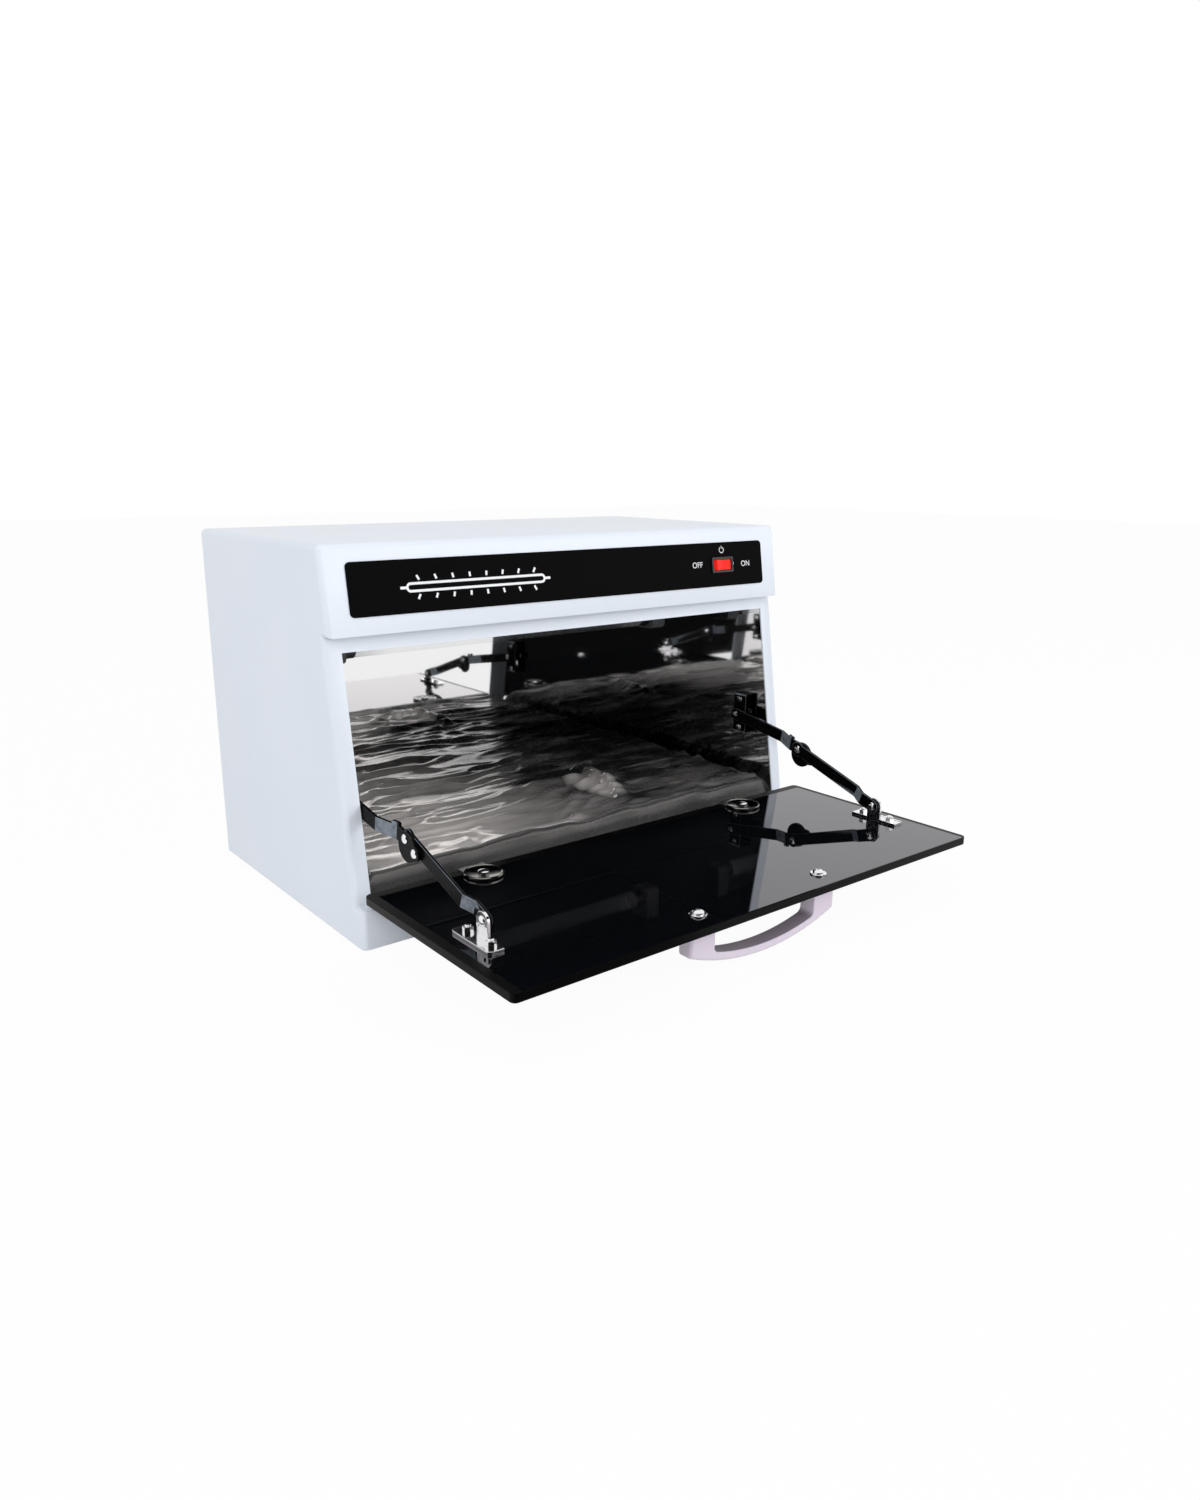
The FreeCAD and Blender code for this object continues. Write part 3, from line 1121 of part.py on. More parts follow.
# Door bracket: a foot bolted to the glass and an ear outside the lower arm
ear_d = stay_door_side - stay_play - stay_sheet
ear_box = box("ear_box", (ear_d - half_width, stay_y - ear_width / 2, door_z),
              (stay_sheet, ear_width, stay_door_rise))
ear_top = prism("ear_top", (ear_d - half_width, stay_y, stay_z), ear_width / 2, stay_sheet, 24,
                ALONG_X)
foot_plate = rounded("foot_plate", box(
    "foot_block", (foot_start - half_width, stay_y - foot_length / 2, door_z),
    (ear_d + stay_sheet - foot_start, foot_length, foot_sheet)), 3,
    lambda edge: along(edge, "z") and near(edge.Vertexes[0].Point.x,
                                           (foot_start - half_width).number))
left_bolts = [(bolt_inset - half_width, stay_y + bolt_gap * k, door_z) for k in (-1, 1)]
left_door_bracket = keep(cut("door_bracket_body", fuse("door_bracket_block", [
    ear_box, ear_top, foot_plate]), holes("foot_bolt_hole", left_bolts, UP, bolt_radius + fit,
                                          foot_sheet * 2)
    + [cylinder("ear_hole", (-half_width, stay_y, stay_z), pivot_hole, half_width, ALONG_X)]),
    "stay_door_bracket_left")
keep(mirrored("door_bracket_right_body", left_door_bracket), "stay_door_bracket_right")
bolts, nuts = [], []
for i, (x, y, z) in enumerate(bolt_spots):
    bolts.append(fuse("bolt_%d" % i, [
        button("bolt_head_%d" % i, (x, y, door_under_z), rivet_head, rivet_dome, DOWN),
        prism("bolt_shank_%d" % i, (x, y, door_under_z - fit / 2), bolt_radius,
              door_glass + foot_sheet + nut_height + 1 + fit / 2, 6)]))
    nut = prism("nut_blank_%d" % i, (x, y, door_z + foot_sheet), nut_radius, nut_height, 6)
    nuts.append(cut("nut_%d" % i, nut, holes("nut_bore_%d" % i, [(x, y, door_z)], UP,
                                             bolt_radius + 0.05, nut_height * 3)))
keep(group("bolt_set", bolts), "stay_bracket_bolts")
keep(group("nut_set", nuts), "stay_bracket_nuts")
on_both_sides(rivet("door_rivet", ear_d, stay_door_side + stay_sheet + fit / 2, stay_y, stay_z,
                    True, True), "stay_door_rivet")

doc.recompute()

# Every object has to be sound before its shape is written
for item in doc.Objects:
    for fault in ("Invalid", "Error"):
        if fault in item.State:
            raise RuntimeError("%s is %s" % (item.Name, fault))
os.makedirs("parts", exist_ok=True)
for piece in pieces:
    if piece.Shape.isNull() or not piece.Shape.isValid() or not piece.Shape.Solids:
        raise RuntimeError("%s has no sound shape" % piece.Label)
for piece in pieces:
    piece.Shape.exportStep("parts/%s.step" % piece.Label)
print("wrote %d pieces" % len(pieces))
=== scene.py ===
"""A bench top ultraviolet sterilizer, dressed around its CAD frame."""

import json
import logging
import math
from collections.abc import Callable, Iterable
from dataclasses import dataclass, field
from enum import Enum

import bmesh
import bpy
from mathutils import Matrix, Vector, noise

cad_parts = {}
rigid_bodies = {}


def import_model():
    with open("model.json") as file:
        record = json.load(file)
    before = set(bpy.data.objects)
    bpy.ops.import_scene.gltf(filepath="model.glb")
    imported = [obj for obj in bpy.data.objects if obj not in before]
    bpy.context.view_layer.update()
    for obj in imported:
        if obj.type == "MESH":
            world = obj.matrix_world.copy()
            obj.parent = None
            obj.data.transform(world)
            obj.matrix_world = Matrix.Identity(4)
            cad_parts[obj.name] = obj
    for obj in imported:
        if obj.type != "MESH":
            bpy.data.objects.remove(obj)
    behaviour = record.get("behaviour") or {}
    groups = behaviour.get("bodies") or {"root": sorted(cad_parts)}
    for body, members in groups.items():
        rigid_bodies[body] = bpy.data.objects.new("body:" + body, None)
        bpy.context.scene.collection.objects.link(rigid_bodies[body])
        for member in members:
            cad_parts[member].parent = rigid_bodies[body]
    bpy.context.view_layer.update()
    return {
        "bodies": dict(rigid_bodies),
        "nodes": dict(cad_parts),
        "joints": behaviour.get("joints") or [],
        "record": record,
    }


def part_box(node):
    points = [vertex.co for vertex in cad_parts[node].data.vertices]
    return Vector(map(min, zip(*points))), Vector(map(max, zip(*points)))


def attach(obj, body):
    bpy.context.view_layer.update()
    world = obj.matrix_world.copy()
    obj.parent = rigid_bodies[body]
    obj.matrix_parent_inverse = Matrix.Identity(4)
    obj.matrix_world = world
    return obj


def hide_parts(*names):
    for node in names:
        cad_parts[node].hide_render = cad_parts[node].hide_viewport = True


LOG = logging.getLogger("sterilizer")
Colour = tuple[float, float, float]
Profile = tuple[tuple[float, float], ...]


class Signal:
    """One number that varies over a surface, wrapped so that Python's operators add its maths."""

    def __init__(self, recipe: "Recipe", socket: bpy.types.NodeSocket) -> None:
        """Wrap an output socket of a recipe's node."""
        self.recipe = recipe
        self.socket = socket

    def _join(self, operation: str, first: "Signal | float", second: "Signal | float") -> "Signal":
        """Add one Math node and wrap its result."""
        made = self.recipe.node("ShaderNodeMath", {"operation": operation}, {0: first, 1: second})
        return Signal(self.recipe, made.outputs[0])

    def __add__(self, other: "Signal | float") -> "Signal":
        """Sum."""
        return self._join("ADD", self, other)

    __radd__ = __add__

    def __sub__(self, other: "Signal | float") -> "Signal":
        """Difference."""
        return self._join("SUBTRACT", self, other)

    def __rsub__(self, other: float) -> "Signal":
        """Difference from a plain number."""
        return self._join("SUBTRACT", other, self)

    def __mul__(self, other: "Signal | float") -> "Signal":
        """Product."""
        return self._join("MULTIPLY", self, other)

    __rmul__ = __mul__

    def most(self, other: "Signal") -> "Signal":
        """The larger of two signals."""
        return self._join("MAXIMUM", self, other)

    def clamped(self) -> "Signal":
        """The same signal held between 0 and 1."""
        made = self.recipe.node("ShaderNodeClamp", {}, {"Value": self})
        return Signal(self.recipe, made.outputs[0])


Feed = "Signal | bpy.types.NodeSocket | float | tuple"


class Recipe:
    """A material or world in the making: its nodes, and the shader that they end in."""

    def __init__(self, name: str, world: bpy.types.World | None = None) -> None:
        """Start an empty material, or empty a world.

        Args:
            name: the new material's name.
            world: the world to build instead of a material.
        """
        self.material = world or bpy.data.materials.new(name)
        self.material.use_nodes = True
        self.tree = self.material.node_tree
        self.tree.nodes.clear()

    def node(self, kind: str, settings: dict[str, object], feeds: dict[int | str, Feed]
             ) -> bpy.types.Node:
        """Add a node.

        Args:
            kind: the node's type.
            settings: its own properties, set first.
            feeds: what goes into its sockets, as values, sockets or signals.

        Returns:
            The node.
        """
        made = self.tree.nodes.new(kind)
        for name, value in settings.items():
            setattr(made, name, value)
        for socket, feed in feeds.items():
            entry = made.inputs[socket]
            if isinstance(feed, Signal):
                self.tree.links.new(feed.socket, entry)
            elif isinstance(feed, bpy.types.NodeSocket):
                self.tree.links.new(feed, entry)
            elif isinstance(feed, tuple) and len(feed) == 3 and entry.type == "RGBA":
                entry.default_value = (*feed, 1.0)
            else:
                entry.default_value = feed
        return made

    def place(self) -> bpy.types.NodeSocket:
        """The object's own coordinates, in metres."""
        return self.node("ShaderNodeTexCoord", {}, {}).outputs["Object"]

    def stretched(self, scale: tuple[float, float, float]) -> bpy.types.NodeSocket:
        """The object's coordinates, stretched along its axes."""
        return self.node("ShaderNodeMapping", {}, {"Vector": self.place(), "Scale": scale}
                         ).outputs["Vector"]

    def grain(self, size: float, detail: float = 2.0, where: bpy.types.NodeSocket | None = None
              ) -> Signal:
        """Noise whose lumps are about a size across, from 0 to 1.

        Args:
            size: how far apart the lumps are, in metres.
            detail: how many finer layers the noise has.
            where: the coordinates, or the object's own.

        Returns:
            The noise.
        """
        made = self.node("ShaderNodeTexNoise", {}, {
            "Vector": where or self.place(), "Scale": 1.0 / size, "Detail": detail})
        return Signal(self, made.outputs["Fac"])

    def ramp(self, signal: Signal, low: float, high: float) -> Signal:
        """A signal spread from 0 at low to 1 at high.

        Args:
            signal: what is spread.
            low: where it becomes 0.
            high: where it becomes 1.

        Returns:
            The spread signal, held between 0 and 1.
        """
        made = self.node("ShaderNodeMapRange", {}, {"Value": signal, "From Min": low,
                                                    "From Max": high})
        return Signal(self, made.outputs[0])

    def tint(self, share: Signal, first: Colour, second: Colour) -> bpy.types.NodeSocket:
        """A colour between two, by a signal.

        Args:
            share: how much of the second colour there is.
            first: the colour at 0.
            second: the colour at 1.

        Returns:
            The colour.
        """
        made = self.node("ShaderNodeMix", {"data_type": "RGBA"}, {
            "Factor": share, 6: first, 7: second})
        return made.outputs[2]

    def bump(self, height: Signal, depth: float) -> bpy.types.NodeSocket:
        """A normal tipped by a height, whose full swing is a depth in metres."""
        return self.node("ShaderNodeBump", {}, {"Height": height, "Distance": depth}).outputs[0]

    def facing(self) -> tuple[Signal, Signal, Signal]:
        """The three parts of the surface's own direction."""
        return self.parts(self.node("ShaderNodeTexCoord", {}, {}).outputs["Normal"])

    def rays(self, *kinds: str) -> Signal:
        """1 for rays of the named kinds, and 0 for all others.

        Args:
            kinds: names of the light path's outputs.

        Returns:
            The signal.
        """
        path = self.node("ShaderNodeLightPath", {}, {})
        seen = Signal(self, path.outputs[kinds[0]])
        for kind in kinds[1:]:
            seen = seen.most(Signal(self, path.outputs[kind]))
        return seen

    def blend(self, share: Signal, first: bpy.types.Node, second: bpy.types.Node
              ) -> bpy.types.NodeSocket:
        """Two shaders mixed by a signal.

        Args:
            share: how much of the second shader there is.
            first: the shader at 0.
            second: the shader at 1.

        Returns:
            The shader.
        """
        return self.node("ShaderNodeMixShader", {}, {
            0: share, 1: first.outputs[0], 2: second.outputs[0]}).outputs[0]

    def parts(self, vector: bpy.types.NodeSocket) -> tuple[Signal, Signal, Signal]:
        """The three numbers of a vector."""
        made = self.node("ShaderNodeSeparateXYZ", {}, {0: vector})
        return tuple(Signal(self, output) for output in made.outputs)

    def step(self, signal: Signal, width: float = 0.0003) -> Signal:
        """0 below zero and 1 above it, over a short width."""
        return self.ramp(signal, -width, width)

    def finish(self, feeds: dict[int | str, Feed]) -> bpy.types.Material:
        """End in one principled shader with the given feeds.

        Args:
            feeds: what goes into the shader's sockets.

        Returns:
            The material.
        """
        shader = self.node("ShaderNodeBsdfPrincipled", {}, feeds)
        self.node("ShaderNodeOutputMaterial", {}, {"Surface": shader.outputs[0]})
        return self.material


@dataclass(frozen=True)
class PowderCoat:
    """Smooth powder coat: a faint orange peel under a soft gloss."""

    name: str = "white_powder_coat"
    colour: Colour = (0.80, 0.845, 0.90)
    shade: Colour = (0.77, 0.82, 0.88)
    roughness: float = 0.34
    peel: float = 0.00005

    def make(self) -> bpy.types.Material:
        """Build the material.

        Returns:
            The material.
        """
        recipe = Recipe(self.name)
        cloud = recipe.ramp(recipe.grain(0.09, 3.0), 0.3, 0.7)
        peel = recipe.grain(0.0016, 1.0)
        gloss = recipe.grain(0.02, 4.0) * 0.08 + (self.roughness - 0.04)
        return recipe.finish({
            "Base Color": recipe.tint(cloud, self.shade, self.colour), "Roughness": gloss,
            "Normal": recipe.bump(peel, self.peel), "Coat Weight": 0.12, "Coat Roughness": 0.2})


@dataclass(frozen=True)
class MirrorSteel:
    """Mirror-polished stainless sheet with a slow waviness; dull on the roof, where a near-black
    colour is painted shade for the unlit roof.
    """

    name: str = "mirror_steel"
    colour: Colour = (0.86, 0.86, 0.865)
    # Painted shade: the roof's near-black colour stands in for the roof being unlit.
    roof: Colour = (0.016, 0.020, 0.026)
    roof_height: float = 0.1925
    roughness: float = 0.03
    wave: float = 0.00012

    def make(self) -> bpy.types.Material:
        """Build the material.

        Returns:
            The material.
        """
        recipe = Recipe(self.name)
        lines = recipe.grain(0.004, 3.0, recipe.stretched((0.02, 1.0, 1.0)))
        wave = recipe.grain(0.13, 1.0)
        _, _, height = recipe.parts(recipe.place())
        # Above the roof's height the colour turns to the painted shade, and the sheet becomes less
        # metallic and rougher.
        above = recipe.step(height - self.roof_height, 0.0005)
        return recipe.finish({
            "Base Color": recipe.tint(above, self.colour, self.roof),
            "Metallic": 1.0 - above * 0.7,
            "Roughness": lines * 0.03 + (self.roughness - 0.015) + above * 0.5,
            "Normal": recipe.bump(wave + lines * 0.004, self.wave)})


@dataclass(frozen=True)
class BlackGlass:
    """Opaque black glass: polished inside a dull dark border, which also takes in its edges."""

    name: str = "black_glass"
    colour: Colour = (0.003, 0.0035, 0.0045)
    roughness: float = 0.015
    left: float = -0.1925
    right: float = 0.1945
    front: float = -0.20355
    back: float = -0.0455

    def make(self) -> bpy.types.Material:
        """Build the material.

        Returns:
            The material.
        """
        recipe = Recipe(self.name)
        smear = recipe.ramp(recipe.grain(0.05, 5.0), 0.45, 0.8)
        glass = recipe.node("ShaderNodeBsdfPrincipled", {}, {
            "Base Color": self.colour, "Roughness": smear * 0.02 + self.roughness,
            "IOR": 2.05, "Specular IOR Level": 0.5, "Specular Tint": (0.95, 0.91, 1.0, 1.0)})
        border = recipe.node("ShaderNodeBsdfPrincipled", {}, {
            "Base Color": (0.0015, 0.0015, 0.0015), "Roughness": 0.3, "Specular IOR Level": 0.06})
        x, y, _ = recipe.parts(recipe.place())
        outside = (recipe.step(self.left - x) + recipe.step(x - self.right)
                   + recipe.step(self.front - y, 0.00008) + recipe.step(y - self.back)
                   ).clamped()
        recipe.node("ShaderNodeOutputMaterial", {}, {
            "Surface": recipe.blend(outside, glass, border)})
        return recipe.material


@dataclass(frozen=True)
class Plated:
    """Bright plating over pressed metal; its level faces may take a darker colour, by a share, as
    a painted reflection of dark surroundings.
    """

    name: str = "bright_plate"
    colour: Colour = (0.78, 0.78, 0.79)
    roughness: float = 0.12
    dent: float = 0.00004
    # Share of the colour on level faces; below 1 it paints a dark reflection there.
    flat: float = 1.0

    def make(self) -> bpy.types.Material:
        """Build the material.

        Returns:
            The material.
        """
        recipe = Recipe(self.name)
        dull = recipe.ramp(recipe.grain(0.006, 3.0), 0.35, 0.75)
        _, _, up = recipe.facing()
        # Level faces get the darker colour: a painted reflection chosen by which way a face looks.
        level = recipe.ramp(up * up, 0.93, 0.99)
        dark = tuple(c * self.flat for c in self.colour)
        return recipe.finish({
            "Base Color": recipe.tint(level, self.colour, dark), "Metallic": 1.0,
            "Roughness": dull * 0.12 + self.roughness,
            "Normal": recipe.bump(recipe.grain(0.003, 2.0), self.dent)})


@dataclass(frozen=True)
class Moulded:
    """Moulded plastic or rubber, or a plain coat: one colour with a fine grain.

    The level is how strongly it mirrors, and the glow is its own light.
    """

    name: str
    colour: Colour
    roughness: float
    grain: float = 0.00002
    grain_size: float = 0.0008
    glow: Colour = (0.0, 0.0, 0.0)
    glow_strength: float = 0.0
    level: float = 0.5

    def make(self) -> bpy.types.Material:
        """Build the material.

        Returns:
            The material.
        """
        recipe = Recipe(self.name)
        patch = recipe.ramp(recipe.grain(0.03, 3.0), 0.3, 0.7)
        dark = tuple(c * 0.93 for c in self.colour)
        return recipe.finish({
            "Base Color": recipe.tint(patch, dark, self.colour),
            "Roughness": patch * 0.05 + self.roughness,
            "Normal": recipe.bump(recipe.grain(self.grain_size, 1.0), self.grain),
            "Specular IOR Level": self.level,
            "Emission Color": self.glow, "Emission Strength": self.glow_strength})


@dataclass(frozen=True)
class BowPlastic:
    """Pale glossy plastic, duller and with painted shade in its colour on the faces inside the
    bow.
    """

    name: str = "pale_handle"
    colour: Colour = (0.72, 0.63, 0.72)
    # Painted shade for the faces inside the bow, which turn back and up.
    inner: Colour = (0.20, 0.155, 0.185)
    roughness: float = 0.24

    def make(self) -> bpy.types.Material:
        """Build the material.

        Returns:
            The material.
        """
        recipe = Recipe(self.name)
        _, along, up = recipe.facing()
        # Faces that turn back and up, inside the bow, take the painted shade and a rougher gloss.
        inside = recipe.ramp(along * 0.8 + up * 0.6, 0.15, 0.75)
        return recipe.finish({
            "Base Color": recipe.tint(inside, self.colour, self.inner),
            "Roughness": inside * 0.2 + self.roughness, "Coat Weight": 0.25,
            "Coat Roughness": 0.1, "Normal": recipe.bump(recipe.grain(0.0008, 1.0), 0.000006)})


@dataclass(frozen=True)
class ArmPaint:
    """Gloss black paint on flat bars, with painted highlights in its colour along its edges and
    bends.
    """

    name: str = "black_arm"
    colour: Colour = (0.0025, 0.0025, 0.003)
    # Painted highlight colour for the bars' bevels and bends, standing in for their reflections.
    edge: Colour = (0.24, 0.27, 0.30)
    roughness: float = 0.24

    def make(self) -> bpy.types.Material:
        """Build the material.

        Returns:
            The material.
        """
        recipe = Recipe(self.name)
        across, _, _ = recipe.facing()
        square = across * across
        # Faces that lean between the bars' flats and their narrow edges, on bevels and bends, take
        # the painted highlight; the specular level is kept near nothing.
        turned = (recipe.ramp(square, 0.05, 0.2) - recipe.ramp(square, 0.97, 0.992)).clamped()
        speck = recipe.ramp(recipe.grain(0.004, 3.0), 0.35, 0.6)
        return recipe.finish({
            "Base Color": recipe.tint(turned * (speck * 0.4 + 0.6), self.colour, self.edge),
            "Roughness": speck * 0.08 + self.roughness, "Specular IOR Level": 0.05,
            "Normal": recipe.bump(recipe.grain(0.0012, 1.0), 0.000012)})


@dataclass(frozen=True)
class QuartzTube:
    """Clear quartz glass, a little cloudy towards the ends of the lamp."""

    name: str = "lamp_tube"
    colour: Colour = (0.80, 0.82, 0.86)
    clear: float = 0.07
    cloudy: float = 0.3
    half: float = 0.135

    def make(self) -> bpy.types.Material:
        """Build the material.

        Returns:
            The material.
        """
        recipe = Recipe(self.name)
        x, _, _ = recipe.parts(recipe.place())
        ends = recipe.ramp(x * x, (self.half - 0.03) ** 2, self.half ** 2)
        return recipe.finish({
            "Base Color": self.colour, "Roughness": ends * 0.3 + 0.04, "IOR": 1.46,
            "Specular IOR Level": 0.4,
            "Alpha": ends * (self.cloudy - self.clear) + self.clear})


@dataclass(frozen=True)
class ClearFilm:
    """Thin plastic film whose colour is painted light: a bright warm tone on one side turning
    near-black towards the other, painted highlights on its light streaks, its curled fold and its
    front edge line, and painted shade where it drapes down.
    """

    name: str = "clear_film"
    # The next two tones are painted light and shade, not two kinds of film: a bright warm tone for
    # the lit side, near-black for the dark side.
    painted_light_tone: Colour = (0.93, 0.875, 0.83)
    clear: Colour = (0.022, 0.022, 0.023)
    # Painted highlights: light grey for the thin streaks on the film's dark side.
    painted_streak_glint: Colour = (0.34, 0.33, 0.33)
    # Painted shade for where the film drapes down over the tray's front.
    skirt_painted_shade: Colour = (0.075, 0.072, 0.07)
    # Painted highlight for the line along the film's front edge.
    rim_highlight: Colour = (1.0, 1.0, 1.0)
    roughness: float = 0.2
    edge: float = -0.0148

    def make(self) -> bpy.types.Material:
        """Build the material.

        Returns:
            The material.
        """
        recipe = Recipe(self.name)
        x, y, _ = recipe.parts(recipe.place())
        streak = recipe.ramp(recipe.grain(0.02, 3.0, recipe.stretched((0.22, 1.0, 1.0))),
                             0.36, 0.66)
        across, along = x - 0.050, y - 0.048
        # A painted highlight over the curled fold, which pulls it towards the lit tone.
        curl_highlight = 1.0 - recipe.ramp(across * across * 3600.0 + along * along * 600.0, 0.0, 1.0)
        # A lighter band near the front edge on the right, which takes more of the lit tone.
        front_lighter_band = (1.0 - recipe.ramp(y, -0.012, 0.045)) * recipe.ramp(x, -0.02, 0.10)
        # Share of painted shade: the colour runs from the painted light tone on the left to
        # near-black on the right, shifted at random by the streaks.
        painted_dark_share = (recipe.ramp(x + y * 0.30, -0.12, 0.06) + (streak - 0.5) * 0.3
                   - curl_highlight * 0.85 - front_lighter_band * 0.22).clamped()
        # Thin light streaks on the dark side, painted highlights in the colour.
        lines = recipe.ramp(recipe.grain(0.0052, 3.0, recipe.stretched((0.09, 1.0, 1.0))),
                            0.56, 0.74)
        smooth = recipe.tint(painted_dark_share, self.painted_light_tone, self.clear)
        top = recipe.tint(lines * painted_dark_share * 0.8, smooth, self.painted_streak_glint)
        low_edge = recipe.ramp(x, -0.08, 0.10) * 0.0035 + self.edge
        # Below the front edge the drape takes the painted shade.
        below = recipe.step(low_edge - y, 0.0012)
        tint = recipe.tint(below, top, self.skirt_painted_shade)
        # A painted highlight line along the front edge, fading out to the right.
        line = (recipe.step(y - self.edge, 0.0002) * recipe.step(self.edge + 0.0007 - y, 0.0003)
                * (1.0 - recipe.ramp(x, -0.09, 0.08)))
        return recipe.finish({
            "Base Color": recipe.tint(line, tint, self.rim_highlight),
            "Roughness": streak * 0.08 + self.roughness, "Metallic": 0.36,
            "Alpha": streak * 0.12 + 0.85})


class Finish(Enum):
    """The finishes that this object's pieces take."""

    PAINT = PowderCoat()
    MIRROR = MirrorSteel()
    GLASS = BlackGlass()
    ZINC = Plated("zinc_plate", (0.56, 0.57, 0.6), 0.28)
    SATIN = Plated("satin_tray", (0.6, 0.6, 0.61), 0.22)
    LABEL = Moulded("black_label", (0.0022, 0.0022, 0.0026), 0.28, 0.000004, level=0.02)
    ART = Moulded("label_print", (0.86, 0.87, 0.88), 0.4, 0.000002)
    BEZEL = Moulded("black_bezel", (0.012, 0.012, 0.012), 0.3)
    ROCKER = Moulded("lit_rocker", (0.62, 0.006, 0.003), 0.3, glow=(1.0, 0.015, 0.006),
                     glow_strength=0.45, level=0.2)
    HANDLE = BowPlastic()
    ARM = ArmPaint()
    CHROME = Plated("bright_chrome", (0.86, 0.86, 0.87), 0.06, 0.00001)
    # Level faces keep 0.05 of its colour: a painted dark reflection on the flat faces of cups and
    # backings, while sloped faces stay bright.
    CUP = Plated("cup_chrome", (0.36, 0.345, 0.32), 0.12, 0.00001, 0.05)
    HOLDER = Moulded("lamp_holder_grey", (0.16, 0.16, 0.165), 0.45, level=0.2)
    RUBBER = Moulded("foot_rubber", (0.02, 0.02, 0.02), 0.75, 0.00006)
    INLET = Moulded("inlet_black", (0.015, 0.015, 0.015), 0.45)
    WHITE = Moulded("white_plastic", (0.74, 0.74, 0.71), 0.4)
    BALLAST = Moulded("ballast_coat", (0.68, 0.68, 0.65), 0.35)
    TUBE = QuartzTube()
    CAP = Plated("lamp_cap", (0.13, 0.13, 0.135), 0.35)
    FILM = ClearFilm()


SLOT_FINISH: dict[str, Finish] = {
    "white_paint": Finish.PAINT, "polished_steel": Finish.MIRROR, "zinc_steel": Finish.ZINC,
    "bright_screws": Finish.CHROME, "bright_metal": Finish.CHROME, "foot_rubber": Finish.RUBBER,
    "black_plastic": Finish.BEZEL, "white_plastic": Finish.WHITE, "ballast_paint": Finish.BALLAST,
    "lamp_glass": Finish.TUBE, "cap_aluminium": Finish.CAP, "black_label": Finish.LABEL,
    "red_rocker": Finish.ROCKER, "tray_steel": Finish.SATIN, "clear_film": Finish.FILM,
    "black_glass": Finish.GLASS, "pale_handle": Finish.HANDLE, "black_paint": Finish.ARM,
}
SIDES = ("left", "right")
NODE_FINISH: dict[str, Finish] = {
    **{"lamp_holder_" + side: Finish.HOLDER for side in SIDES},
    **{"stay_wall_bracket_" + side: Finish.ARM for side in SIDES},
    "hinge_backings": Finish.CUP}
EASED: dict[str, float] = {
    "cabinet_shell": 0.0004, "base_plate": 0.0003, "label_strip": 0.0002,
    "handle": 0.0008, "tray": 0.0002, "switch_housing": 0.0003, "switch_rocker": 0.0005,
    **{"%s_%s" % (node, side): 0.00035 for side in SIDES
       for node in ("stay_wall_bracket", "stay_door_bracket", "hinge_leaf", "hinge_base")}}
ARMS = tuple("%s_%s" % (node, side) for side in SIDES
             for node in ("stay_upper_arm", "stay_lower_arm"))
ARM_EASE = (0.00035, 2, 14.0)
MERGE = 1e-6
BORE_SIDES = 48
BORE_PAST = 0.004


class Dresser:
    """Gives the CAD nodes their finishes, and keeps one material for each."""

    def __init__(self, frame: dict[str, object]) -> None:
        """Read which slot each node takes from the record.

        Args:
            frame: the loaded frame, with its nodes and record.
        """
        self.frame = frame
        self.slots = {part["node"]: part["material_slot"]
                      for part in frame["record"]["subparts"]}
        self.made: dict[Finish, bpy.types.Material] = {}

    def finish(self, node: str) -> Finish:
        """The finish of a CAD node: its own, or the one of its slot."""
        return NODE_FINISH.get(node, SLOT_FINISH[self.slots[node]])

    def material(self, finish: Finish) -> bpy.types.Material:
        """The material of a finish, built when it is first wanted.

        Args:
            finish: the wanted finish.

        Returns:
            Its only material.
        """
        if finish not in self.made:
            self.made[finish] = finish.value.make()
        return self.made[finish]

    def dress(self, piece: bpy.types.Object, finish: Finish) -> None:
        """Put one finish on every face of a piece."""
        piece.data.materials.clear()
        piece.data.materials.append(self.material(finish))

    def dress_frame(self) -> None:
        """Dress every CAD node by its slot."""
        for name, node in self.frame["nodes"].items():
            self.dress(node, self.finish(name))
            LOG.info("dressed %s", name)


